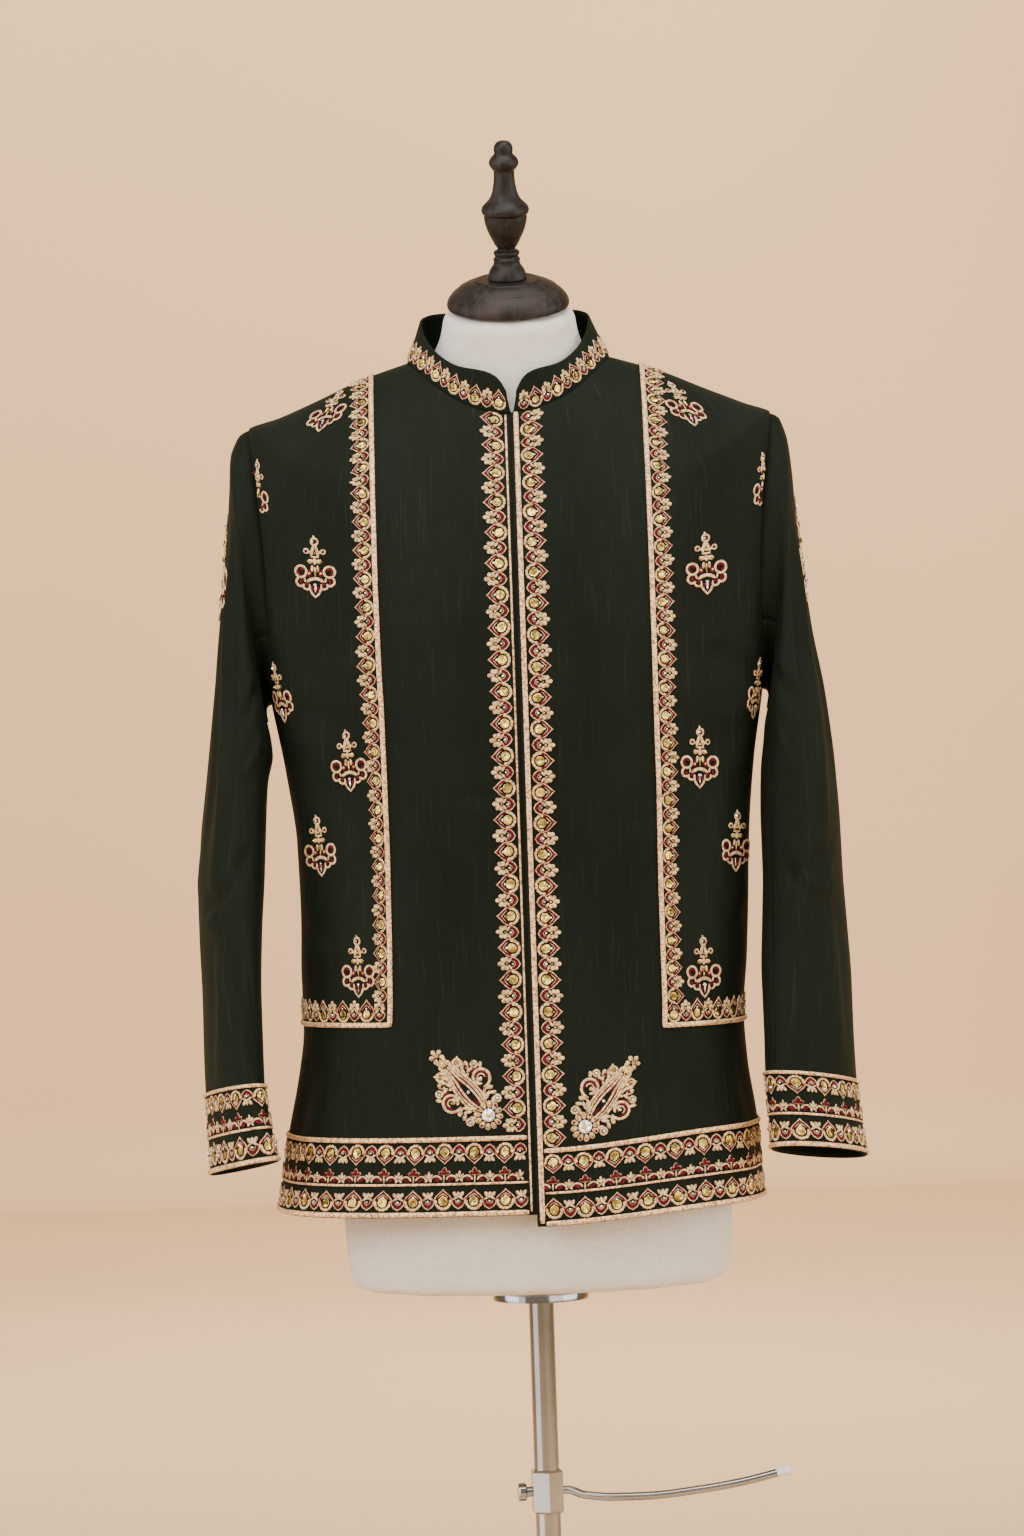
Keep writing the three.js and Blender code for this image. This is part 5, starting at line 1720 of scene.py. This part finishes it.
def make_front_borders():
    """The band down each front edge, then along the hem to the side seam."""
    for name, side in SIDES.items():
        panel = Panel(name)
        stitching = Stitching()
        start, width, first = FRONT_CORDS[name]
        middle = start + width / 2
        column = Column(panel, side * FRONT_BAND["middle"], TOP_ROW, FRONT_BAND["foot_row"])
        motifs = first_pairs(column, side, FRONT_BAND["top"], FRONT_BAND["foot"], stretch=0.98)
        stitching.lay(motifs, beside(column, side, first))
        column = Column(panel, side * middle, TOP_ROW, 0.0)
        edge = cord(CORD_ENDS[0], column.length - CORD_ENDS[1], middle, width)
        stitching.lay(edge, beside(column, side))
        hoop = Hoop((HEM + HEM_BAND_TOP) / 2)
        near = first + SEAM_CLEAR
        far = abs(hoop.at_turn(side * math.pi / 2)) - SEAM_CLEAR
        low, high = sorted((side * near, side * far))
        hem_rows(stitching, low, high, level_place(panel, hoop, HEM, panel.over))
        finish_trim(stitching, f"stitching_front_{name}", f"border_front_{name}")


def make_hem_back():
    """The hem border of the back, from each side seam to the centre."""
    stitching = Stitching()
    for name, side in SIDES.items():
        panel = Panel(name, back=True)
        hoop = Hoop((HEM + HEM_BAND_TOP) / 2)
        seam = side * abs(hoop.at_turn(side * math.pi / 2)) + side * SEAM_CLEAR
        ends = sorted((seam, hoop.at_turn(side * math.pi)))
        hem_rows(stitching, *ends, level_place(panel, hoop, HEM, panel.over))
    finish_trim(stitching, "stitching_hem_back", "border_hem_back")


def frame_place(column, side, inner, course):
    """Places of a frame band: length down its middle, and across from its inner edge. The
    course shifts the band, and narrows all of it but the cord."""

    def place(along, away):
        row = np.interp(along, column.down, column.rows)
        shift = np.interp(row, course["row"], course["shift"])
        share = np.interp(row, course["row"], course["share"])
        spread = FRAME_CORD + (away - FRAME_CORD) * np.where(away > FRAME_CORD, share, 1)
        return column.at(along, side * (inner + shift + spread))

    return place


def waist_band(stitching, panel, side, course):
    """The foot of a frame band, level at the waist as far as the side seam."""
    inner, outer = panel.frame
    waist = LOWER_ROWS["height"][WAIST_ROW] + WAIST_LIFT
    hoop = Hoop(waist + (outer - inner) / 2)
    place = level_place(panel, hoop, waist, False)
    corner = float(turn_at(waist, side * (inner + course["shift"][0]), panel.back))
    ends = hoop.at_turn(corner), hoop.at_turn(side * math.pi / 2)
    low, high = min(ends) + SEAM_CLEAR, max(ends) - SEAM_CLEAR
    stitching.lay(cord(low, high, FRAME_CORD / 2, FRAME_CORD), place)
    clear = FRAME_CORD * (1 if ends[0] == min(ends) else 0)
    room = FRAME_CORD - clear
    motifs = row_of(pair(), low + clear, high - room, FRAME_CORD - FRAME_NEAR, FRAME_SIZE)
    stitching.lay(motifs, place)


def make_frames():
    """The band from each shoulder down to the waist, where it turns out to the side seam."""
    for name, side in SIDES.items():
        course = FRAME_COURSE[name]
        for back in (False, True):
            panel = Panel(name, back)
            stitching = Stitching()
            inner, outer = panel.frame
            column = Column(panel, side * (inner + outer) / 2, TOP_ROW, WAIST_ROW)
            place = frame_place(column, side, inner, course)
            near = {"away": FRAME_CORD - FRAME_NEAR, "size": FRAME_SIZE}
            motifs = first_pairs(column, side, 1.0, outer - inner - 2, **near)
            stitching.lay(motifs, place)
            end = column.length - WAIST_LIFT - 0.5
            stitching.lay(cord(1.2, end, FRAME_CORD / 2, FRAME_CORD), place)
            waist_band(stitching, panel, side, course)
            face = "back" if back else "front"
            finish_trim(stitching, f"stitching_frame_{face}_{name}", f"frame_{face}_{name}")


def cuff_place(sleeve, edge, around):
    """Places of a cuff: length round it, and up from its edge."""

    def place(along, away):
        angle = np.interp(along % around[-1], around, edge)
        return sleeve.surface(angle, sleeve.last - away / CUFF_ROW)

    return place


def make_cuffs():
    """The border round each cuff, over both pieces of the sleeve."""
    for name in SIDES:
        sleeve = Sleeve(name)
        edge = np.linspace(0, 2 * math.pi, EDGE_STEPS)
        around = lengths(sleeve.bare(edge, np.full(EDGE_STEPS, sleeve.last - 0.5)), 0)
        stitching = Stitching()
        hem_rows(stitching, 0.0, around[-1], cuff_place(sleeve, edge, around))
        nodes = f"border_cuff_{name}_top", f"border_cuff_{name}_under"
        finish_trim(stitching, f"stitching_cuff_{name}", *nodes)


def make_collar_border():
    """One row of pairs round the collar, upward from its seam."""
    start = float(np.abs(turn_at(NECK_RING, COLLAR_START, False))) + COLLAR_BAND["clear"]
    angles = np.linspace(start, 2 * math.pi - start, COLLAR_STEPS)
    foot, quarter, top = (collar_surface(angles, np.full(COLLAR_STEPS, at)) for at in (0.0, 0.25, 1.0))
    around = lengths(quarter, 0)
    tall = np.linalg.norm(top - foot, axis=-1)

    def place(along, away):
        angle = np.interp(along, around, angles)
        return collar_place(angle, (away + COLLAR_BAND["up"]) / np.interp(angle, angles, tall))

    stitching = Stitching()
    row = row_of(pair(), 1.0, around[-1] - 1.0, 0.2, size=COLLAR_BAND["size"], stretch=0.98)
    stitching.lay(row, place)
    finish_trim(stitching, "stitching_collar", "border_collar")


# Spot motifs: where their middles are, their tilt in degrees and their size

SPOTS = table(
    "x z tilt width",
    (-172, 1297, 0, 1.0),
    (161, 1289, 0, 1.0),
    (-149, 1131, 3, 0.87),
    (150, 1124, -2, 0.92),
    (-177, 1059, 4, 0.80),
    (181, 1051, -4, 0.80),
    (-147, 955, 0, 0.80),
    (148, 945, 0, 0.84),
    (-157, 1436, -22, 0.95),
    (147, 1431, 22, 0.95),
)
SIDE_SPOTS = table(
    "x z tilt width",
    (-221, 1368, 0, 1.0),
    (214.5, 1360, 0, 1.0),
    (-208, 1192, 0, 1.0),
    (203, 1182, 0, 1.0),
)
SPRIGS = {"right": (-57, 847, 40), "left": (59, 836, -40)}
SLEEVE_SPOT = {"row": 4.6, "size": 1.75}
# A spot keeps this far from the shoulder seam, in millimetres, and from the armhole, in turn.
SHOULDER_CLEAR = 0.5
ARMHOLE_CLEAR = 0.02
ARMHOLE_STEPS = 200


def level_at(x, z):
    """Level of the front's place (x, z), by repeated correction."""
    level = float(z)
    for _ in range(30):
        point = ring_point(level, turn_at(level, x, False))
        level += 0.7 * (z - float(point[2]))
    return level


def about_column(panel, x, z):
    """Places round the point (x, z) of a front: across, and up to the shoulder seam."""
    column = Column(panel, x)
    depth = column.down_at(z)

    def place(along, away):
        return column.at(np.maximum(depth - away, SHOULDER_CLEAR), x + along)

    return place


def about_side(panel, x, z):
    """Places round the point (x, z) near the side, and which of them the armhole leaves."""
    level = level_at(x, z)
    hoop = Hoop(level)
    middle = hoop.at_turn(float(turn_at(level, x, False)))

    def place(along, away):
        return body_surface(level + away, hoop.turn(middle + along))

    def inside(along, away):
        heights, turns = panel.armhole(np.linspace(0, TOP_ROW, ARMHOLE_STEPS))
        limit = np.interp(level + away, heights, turns) - ARMHOLE_CLEAR
        return np.abs(hoop.turn(middle + along)) < limit

    return place, inside


def spots_of(rows, side):
    """Each spot of a table on one side: its middle and its turned and narrowed motif."""
    motif = spot()
    for x, z, tilt, width in zip(*rows.values()):
        if np.sign(x) == side:
            yield x, z, motif.moved(size=width, stretch=1 / width).moved(angle=tilt)


def make_spots():
    """The spots and the sprig of each front."""
    sprig = leaf_sprig()
    for name, side in SIDES.items():
        panel = Panel(name)
        stitching = Stitching()
        for x, z, shape in spots_of(SPOTS, side):
            stitching.lay(shape, about_column(panel, x, z))
        for x, z, shape in spots_of(SIDE_SPOTS, side):
            stitching.lay(shape, *about_side(panel, x, z))
        x, z, tilt = SPRIGS[name]
        stitching.lay(sprig.moved(angle=tilt), about_column(panel, x, z))
        finish_trim(stitching, f"stitching_spots_{name}")


def sleeve_place(sleeve, row):
    """Places round a sleeve's outer line at a row: across, and up."""
    step = 0.01
    here = sleeve.bare(np.array([0.0, step]), np.array([row, row]))
    per_angle = float(np.linalg.norm(here[1] - here[0])) / step
    rows, down = sleeve.outer_line()
    middle = float(np.interp(row, rows, down))

    def place(along, away):
        return sleeve.surface(along / per_angle, np.interp(middle - away, down, rows))

    return place


def make_sleeve_spots():
    """A large spot on the outer face of each upper sleeve."""
    for name in SIDES:
        stitching = Stitching()
        shape = spot().moved(size=SLEEVE_SPOT["size"])
        stitching.lay(shape, sleeve_place(Sleeve(name), SLEEVE_SPOT["row"]))
        finish_trim(stitching, f"stitching_sleeve_{name}")


# Form, wood and stand

NECK_LEAN = math.radians(19)
NECK_TOP = (0, -20, 1521)
CAP_LIFT = 0.3
CAP_HEIGHT = 25.2
FIT_GAP = 0.3
# Half sections of the turned pieces, as radius and height.
CAP_PROFILE = [
    (0, 0), (51.5, 0), (52.8, 1.0), (53.3, 2.5), (53.3, 5), (52.6, 7.2), (51.4, 9.5), (48, 13.8),
    (43.6, 17), (42.9, 17.2), (42.5, 18.4), (41.6, 19.0), (40.5, 19.4), (35.8, 22), (29.6, 23.8),
    (29.0, 24.0), (28.4, 24.8), (26.5, 25.2), (0, 25.2),
]
FINIAL_PROFILE = [
    (0, 0), (17.1, 0), (16.9, 2.0), (16.4, 4.5), (14.4, 9.2), (11.6, 12.6), (11.3, 16),
    (11.9, 17.0), (11.3, 17.9), (10.2, 19.2), (10.2, 20.4), (11.1, 21.5), (11.4, 22.8),
    (11.1, 24.2), (9.0, 25.2), (7.5, 25.9), (8.0, 27.4), (10, 29.8), (12.7, 35.4), (15.5, 41.1),
    (17.1, 45.7), (18.3, 50.6), (18.9, 55.0), (18.1, 55.9), (18.3, 56.6), (20.0, 57.6),
    (20.8, 60.0), (20.4, 62.6), (18.8, 65), (13.8, 69.5), (11.1, 75.2), (10, 80.9), (9.1, 86.6),
    (8.9, 94.6), (9.4, 95.4), (11.6, 98), (12.9, 100.5), (12.9, 103.4), (11, 106.6),
    (8.3, 108.9), (7.9, 110.2), (8.4, 113.0), (8.1, 115.6), (6.9, 118.4), (4.4, 120.5), (0, 121.1),
]
POLE_RADIUS = 11
FORM_BOTTOM = 668
BASE = (165, 8)
SOCKET = (17, 30)
FLANGE = (42, 12)
BRACKET = {"flats": 26.3, "z": 487, "crisp": 25}
BAR_TURN = math.radians(7)
KNOB = {"stem": 3, "neck": 4.5, "disc": 8, "neck_length": 5.5, "disc_length": 7, "sides": 60}
BAR_RADIUS = 3.75
BAR_ROUTE = [(0, 0), (4, 0), (19, -5.2), (45, -8.4), (77, -9), (120, -6), (160, -1), (190, 5)]
BAR_STEPS = 60
BAR_TIP = {"radius": 4, "length": 13, "round": 1.2, "sides": 32}
ROUND = 84


def softened(profile, passes=2):
    """Cuts each corner of an open outline at a quarter of its sides, keeping the ends."""
    path = np.asarray(profile, float)
    for _ in range(passes):
        start, end = path[:-1], path[1:]
        cut = np.stack([mix(start, end, 0.25), mix(start, end, 0.75)], 1).reshape(-1, 2)
        path = np.concatenate([path[:1], cut, path[-1:]])
    return path


def revolve(profile, sides=ROUND):
    """Carries a half section (radius, height) round the Z axis. Its ends lie on the axis, or
    it closes on itself."""
    profile = np.asarray(profile, float)
    turn = 2 * math.pi * np.arange(sides) / sides
    on_axis = profile[0, 0] == 0
    body = profile[1:-1] if on_axis else profile[:-1]
    x = body[:, 0][:, None] * np.sin(turn)
    y = -body[:, 0][:, None] * np.cos(turn)
    z = np.broadcast_to(body[:, 1][:, None], x.shape)
    points = np.stack([x, y, z], -1).reshape(-1, 3)
    rows = len(body)
    ring, side = np.meshgrid(np.arange(rows if not on_axis else rows - 1), np.arange(sides))
    ring, side = ring.ravel(), side.ravel()
    above, beside = (ring + 1) % rows, (side + 1) % sides
    faces = [ring * sides + side, ring * sides + beside, above * sides + beside, above * sides + side]
    faces = np.stack(faces, -1)
    groups = [(faces, points[faces][..., :2], np.zeros(len(faces), int))]
    if on_axis:
        poles = np.array([[0, 0, profile[0, 1]], [0, 0, profile[-1, 1]]])
        points = np.concatenate([points, poles])
        k = np.arange(sides)
        low = np.stack([(k + 1) % sides, k, np.full(sides, len(points) - 2)], -1)
        start = (rows - 1) * sides
        high = np.stack([start + k, start + (k + 1) % sides, np.full(sides, len(points) - 1)], -1)
        fans = np.concatenate([low, high])
        groups.append((fans, points[fans][..., :2], np.zeros(len(fans), int)))
    return points, groups


def turned_about(points, rotation, offset=(0, 0, 0)):
    """Points turned, then moved."""
    return points @ np.asarray(rotation).T + np.asarray(offset)


def rotation_x(angle):
    """Turn about the X axis."""
    c, s = math.cos(angle), math.sin(angle)
    return np.array([[1, 0, 0], [0, c, -s], [0, s, c]])


def rotation_z(angle):
    """Turn about the Z axis."""
    c, s = math.cos(angle), math.sin(angle)
    return np.array([[c, -s, 0], [s, c, 0], [0, 0, 1]])


def hard_piece(name, points, groups, finish, body, slot, node, crisp=35):
    """A piece that doesn't bend, sharp where its faces turn more than crisp degrees."""
    piece = mesh_object(name, points, oriented(points, groups), [material(finish)], crisp)
    declare(piece, body, slot, node)


def own_mesh(node, name, finish):
    """A copy of a solid's own mesh, with its doubled points merged. The linen's triangles
    are joined in pairs, because four-sided faces smooth evenly."""
    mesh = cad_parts[node].data.copy()
    piece = bpy.data.objects.new(name, mesh)
    bpy.context.scene.collection.objects.link(piece)
    edit = bmesh.new()
    edit.from_mesh(mesh)
    bmesh.ops.remove_doubles(edit, verts=edit.verts, dist=1e-6)
    if finish == "linen":
        bmesh.ops.join_triangles(
            edit, faces=edit.faces, angle_face_threshold=3.0, angle_shape_threshold=3.0
        )
    edit.to_mesh(mesh)
    edit.free()
    mesh.materials.clear()
    mesh.materials.append(material(finish))
    mesh.shade_smooth()
    return piece


def make_form():
    """The form's cover: the solid's own points, made four-sided and smoothed."""
    piece = own_mesh("form_torso", "form_cover", "linen")
    smoothing = piece.modifiers.new("smoothing", "SUBSURF")
    smoothing.levels = 2
    smoothing.render_levels = 2
    declare(piece, "stand", "linen", "form_torso")


def make_wood():
    """The turned neck cap and finial, leaning with the neck."""
    lean = rotation_x(NECK_LEAN)
    heights = {"neck_cap": CAP_LIFT, "finial": CAP_LIFT + CAP_HEIGHT + FIT_GAP}
    profiles = {"neck_cap": CAP_PROFILE, "finial": FINIAL_PROFILE}
    for node, profile in profiles.items():
        points, groups = revolve(softened(profile))
        points = turned_about(points + [0, 0, heights[node]], lean, NECK_TOP)
        hard_piece(f"wood_{node}", points, groups, "wood", "stand", "dark_wood", node, 50)


def ring_profile(hole, radius, low, high, edge=1.0):
    """Half section of a ring whose upper outer edge is rounded."""
    return [
        (hole, low), (radius, low), (radius, high - edge), (radius - edge * 0.3, high - edge * 0.3),
        (radius - edge, high), (hole, high), (hole, low),
    ]


def make_stand():
    """The base plate with its round rim, the pole, its socket and the flange."""
    radius, thick = BASE
    half = thick / 2
    edge = np.radians(np.linspace(-90, 90, 9))
    rim = [(radius - half + half * math.cos(a), half + half * math.sin(a)) for a in edge]
    low, high = thick + FIT_GAP, FORM_BOTTOM - FIT_GAP
    profiles = {
        "base_plate": [(0, 0), *rim, (0, thick)],
        "pole": [(0, low), (POLE_RADIUS, low), (POLE_RADIUS, high), (0, high)],
        "pole_socket": ring_profile(POLE_RADIUS + FIT_GAP, SOCKET[0], low, low + SOCKET[1]),
        "bottom_flange": ring_profile(POLE_RADIUS + FIT_GAP, FLANGE[0], high - FLANGE[1], high, 2),
    }
    for node, profile in profiles.items():
        points, groups = revolve(profile)
        hard_piece(f"chrome_{node}", points, groups, "chrome", "stand", "chrome", node)


def tube(path, radius, sides=16):
    """A round section carried along a path in the XZ plane, closed at both ends."""
    tangent = unit(np.gradient(path, axis=0))
    up = np.stack([-tangent[:, 1], tangent[:, 0]], -1)
    turn = 2 * math.pi * np.arange(sides) / sides
    flat = path[:, None] + up[:, None] * (radius * np.cos(turn))[None, :, None]
    depth = np.broadcast_to(radius * np.sin(turn), flat.shape[:2])
    points = np.stack([flat[..., 0], depth, flat[..., 1]], -1).reshape(-1, 3)
    made = lathe_motif(points, len(path), sides, 0)
    return made.points, made.groups


def on_bracket(points):
    """Points from the bracket's own place to where it stands on the pole, turned a little."""
    return turned_about(points, rotation_z(BAR_TURN), (0, 0, BRACKET["z"]))


def make_bracket():
    """The bracket: the solid's own mesh, which has the holes for the pole and the knob."""
    piece = own_mesh("bar_bracket", "chrome_bracket", "chrome")
    piece.data.set_sharp_from_angle(angle=math.radians(BRACKET["crisp"]))
    declare(piece, "bar", "chrome", "bar_bracket")


def make_knob():
    """The knob: a stem in the bracket, a neck, and a disc with worn edges."""
    flat = BRACKET["flats"] / 2
    stem, neck, disc = KNOB["stem"], KNOB["neck"], KNOB["disc"]
    bore = POLE_RADIUS + FIT_GAP
    start = flat + KNOB["neck_length"]
    end = start + KNOB["disc_length"]
    profile = [
        (0, bore), (stem, bore), (stem, flat + FIT_GAP), (neck, flat + FIT_GAP), (neck, start),
        (disc - 1, start), (disc, start + 1), (disc, end - 1), (disc - 1, end), (0, end),
    ]
    points, groups = revolve(profile, KNOB["sides"])
    points = on_bracket(turned_about(points, [[0, 0, -1], [0, 1, 0], [1, 0, 0]]))
    hard_piece("chrome_knob", points, groups, "chrome", "knob", "chrome", "bar_knob")


def make_bar_end(end, way):
    """The white cap on the end of the bar, along the way that the bar ends in."""
    radius, length, soft = BAR_TIP["radius"], BAR_TIP["length"], BAR_TIP["round"]
    profile = [
        (0, FIT_GAP), (radius, FIT_GAP), (radius, length - soft),
        (radius - soft / 3, length - soft / 3), (radius - soft, length), (0, length),
    ]
    points, groups = revolve(profile, BAR_TIP["sides"])
    along_bar = [[way[1], 0, way[0]], [0, 1, 0], [-way[0], 0, way[1]]]
    points = on_bracket(turned_about(points, along_bar, (end[0], 0, end[1])))
    hard_piece("cap_bar_end", points, groups, "plastic", "bar", "white_plastic", "bar_tip")


def make_bar():
    """The bracket on the pole, its knob, and the bar with its end cap."""
    make_bracket()
    make_knob()
    route = np.array(BAR_ROUTE, float) + [BRACKET["flats"] / 2 + FIT_GAP, 0]
    place = lengths(route, 0)
    at = np.linspace(0, place[-1], BAR_STEPS)
    path = np.stack([curve(place, route[:, 0])(at), curve(place, route[:, 1])(at)], -1)
    points, groups = tube(path, BAR_RADIUS)
    hard_piece("chrome_bar", on_bracket(points), groups, "chrome", "bar", "chrome", "trouser_bar")
    make_bar_end(path[-1], unit(path[-1] - path[-2]))


# Stage

CAMERA = {"place": (-0.01006, -4.0, 1.120), "lens": 107.14, "sensor": 36, "roll": math.radians(1.9)}
WALL_PLACE = 8.1
STAGE_REACH = 9.0
STAGE_WIDE = 1.6
COVE = 0.25
LOOK_AT = (0, 0, 1.15)
# Each lamp: its place, size, power and colour.
LAMPS = {
    "key": ((-2.4, -3.8, 3.4), 2.4, 190, (1.0, 0.98, 0.95)),
    "fill": ((3.0, -3.8, 2.0), 3.4, 90, (1.0, 0.97, 0.93)),
    "top": ((0.3, -1.3, 4.2), 2.6, 150, (1.0, 0.98, 0.95)),
    "side_right": ((-3.4, -0.9, 1.7), 2.6, 74, (1.0, 0.98, 0.96)),
    "side_left": ((3.4, -0.9, 1.7), 2.6, 88, (1.0, 0.98, 0.96)),
    "strip": ((-1.0, -0.53, 0.52), 1.0, 5.3, (0.94, 0.97, 1.0)),
    "wall": ((0.0, 4.0, 4.2), 5.0, 430, (1.0, 0.92, 0.80)),
}
# What a lamp looks at, where that isn't the jacket. The strip shows only in reflections.
AIMS = {"wall": (0, WALL_PLACE, 1.4), "strip": (0, 0, 0.52)}
SKY = {"colour": (0.86, 0.74, 0.60, 1), "strength": 0.5}


def make_floor():
    """Floor and backdrop in one sheet with a rounded corner."""
    turn = np.radians(np.linspace(0, 90, 13))
    depth = np.r_[-STAGE_REACH, WALL_PLACE - COVE + COVE * np.sin(turn), WALL_PLACE]
    rise = np.r_[0, COVE - COVE * np.cos(turn), STAGE_REACH]
    x = np.array([-STAGE_REACH, STAGE_REACH]) * STAGE_WIDE
    grid = np.stack([np.repeat(x, len(depth)), np.tile(depth, 2), np.tile(rise, 2)], -1) / MM
    faces = grid_faces(2, len(depth))
    groups = [(faces, grid[faces][..., :2], np.zeros(len(faces), int))]
    mesh_object("floor_and_wall", grid, groups, [material("backdrop")])


def make_camera():
    """The camera in front, a little to the right and rolled, as the picture was taken."""
    camera = bpy.data.objects.new("camera", bpy.data.cameras.new("camera"))
    camera.data.sensor_width = CAMERA["sensor"]
    camera.data.lens = CAMERA["lens"]
    camera.data.clip_end = 60
    camera.location = CAMERA["place"]
    camera.rotation_euler = (math.pi / 2, CAMERA["roll"], 0)
    bpy.context.scene.collection.objects.link(camera)
    bpy.context.scene.camera = camera


def make_lamps():
    """Soft lamps, each turned to what it looks at."""
    for name, (place, size, power, colour) in LAMPS.items():
        light = bpy.data.lights.new(name, "AREA")
        light.size = size
        light.energy = power
        light.color = colour
        lamp = bpy.data.objects.new(name, light)
        lamp.location = place
        lamp.visible_diffuse = name != "strip"
        aim = np.array(AIMS.get(name, LOOK_AT)) - np.array(place)
        pitch = math.atan2(math.hypot(aim[0], aim[1]), -aim[2])
        lamp.rotation_euler = (pitch, 0, math.atan2(-aim[0], aim[1]))
        bpy.context.scene.collection.objects.link(lamp)


def make_stage():
    """Floor and backdrop, camera, lamps and the warm light all round."""
    make_floor()
    make_camera()
    make_lamps()
    world = bpy.data.worlds.new("studio")
    world.use_nodes = True
    background = world.node_tree.nodes["Background"]
    background.inputs["Color"].default_value = SKY["colour"]
    background.inputs["Strength"].default_value = SKY["strength"]
    bpy.context.scene.world = world


# Operators and panel


def operator(name, label, action, text):
    """One operator class for a piece or a group of like pieces."""

    def execute(self, context):
        action()
        return {"FINISHED"}

    body = {
        "__doc__": text,
        "bl_idname": f"jacket.{name}",
        "bl_label": label,
        "bl_options": {"REGISTER", "UNDO"},
        "execute": execute,
    }
    return type(f"JACKET_OT_{name}", (bpy.types.Operator,), body)


OPERATORS = [
    operator("stage", "Stage", make_stage, "Make the floor, the lights and the camera"),
    operator("form", "Form", make_form, "Make the linen-covered form"),
    operator("wood", "Cap and finial", make_wood, "Make the turned neck cap and finial"),
    operator("stand", "Stand", make_stand, "Make the base plate, pole, socket and flange"),
    operator("bar", "Trouser bar", make_bar, "Make the bracket, its knob and the bar"),
    operator("fronts", "Fronts", make_fronts, "Make the two silk fronts"),
    operator("back", "Back", make_back, "Make the silk back"),
    operator("sleeves", "Sleeves", make_sleeves, "Make the top and under sleeves"),
    operator("collar", "Collar", make_collar, "Make the stand collar"),
    operator("front_borders", "Front borders", make_front_borders, "Stitch front edges and hem"),
    operator("hem_back", "Back hem", make_hem_back, "Stitch the back's hem border"),
    operator("frames", "Frames", make_frames, "Stitch the bands from shoulder to side"),
    operator("cuffs", "Cuffs", make_cuffs, "Stitch the cuff borders"),
    operator("collar_border", "Collar border", make_collar_border, "Stitch the collar's border"),
    operator("spots", "Spots", make_spots, "Stitch the spots and the two sprigs"),
    operator("sleeve_spots", "Sleeve spots", make_sleeve_spots, "Stitch the sleeves' spots"),
]


class JACKET_PT_panel(bpy.types.Panel):
    """Lists the settings and every operator."""

    bl_label = "Bandhgala jacket"
    bl_idname = "JACKET_PT_panel"
    bl_space_type = "VIEW_3D"
    bl_region_type = "UI"
    bl_category = "Jacket"

    def draw(self, context):
        for group in (context.scene.jacket_sizes, context.scene.jacket_colours):
            for name in group.__annotations__:
                self.layout.prop(group, name)
        for made in OPERATORS:
            self.layout.operator(made.bl_idname)


CLASSES = [JacketSizes, JacketColours, *OPERATORS, JACKET_PT_panel]


def register():
    """Adds the settings, the operators and the panel."""
    for one in CLASSES:
        bpy.utils.register_class(one)
    bpy.types.Scene.jacket_sizes = bpy.props.PointerProperty(type=JacketSizes)
    bpy.types.Scene.jacket_colours = bpy.props.PointerProperty(type=JacketColours)


def unregister():
    """Takes them away again."""
    del bpy.types.Scene.jacket_sizes
    del bpy.types.Scene.jacket_colours
    for one in reversed(CLASSES):
        bpy.utils.unregister_class(one)


def main():
    """Registers the add-on, calls every operator in order and writes both boxes."""
    register()
    for made in OPERATORS:
        group, name = made.bl_idname.split(".")
        getattr(getattr(bpy.ops, group), name)()


if __name__ == "__main__":
    main()
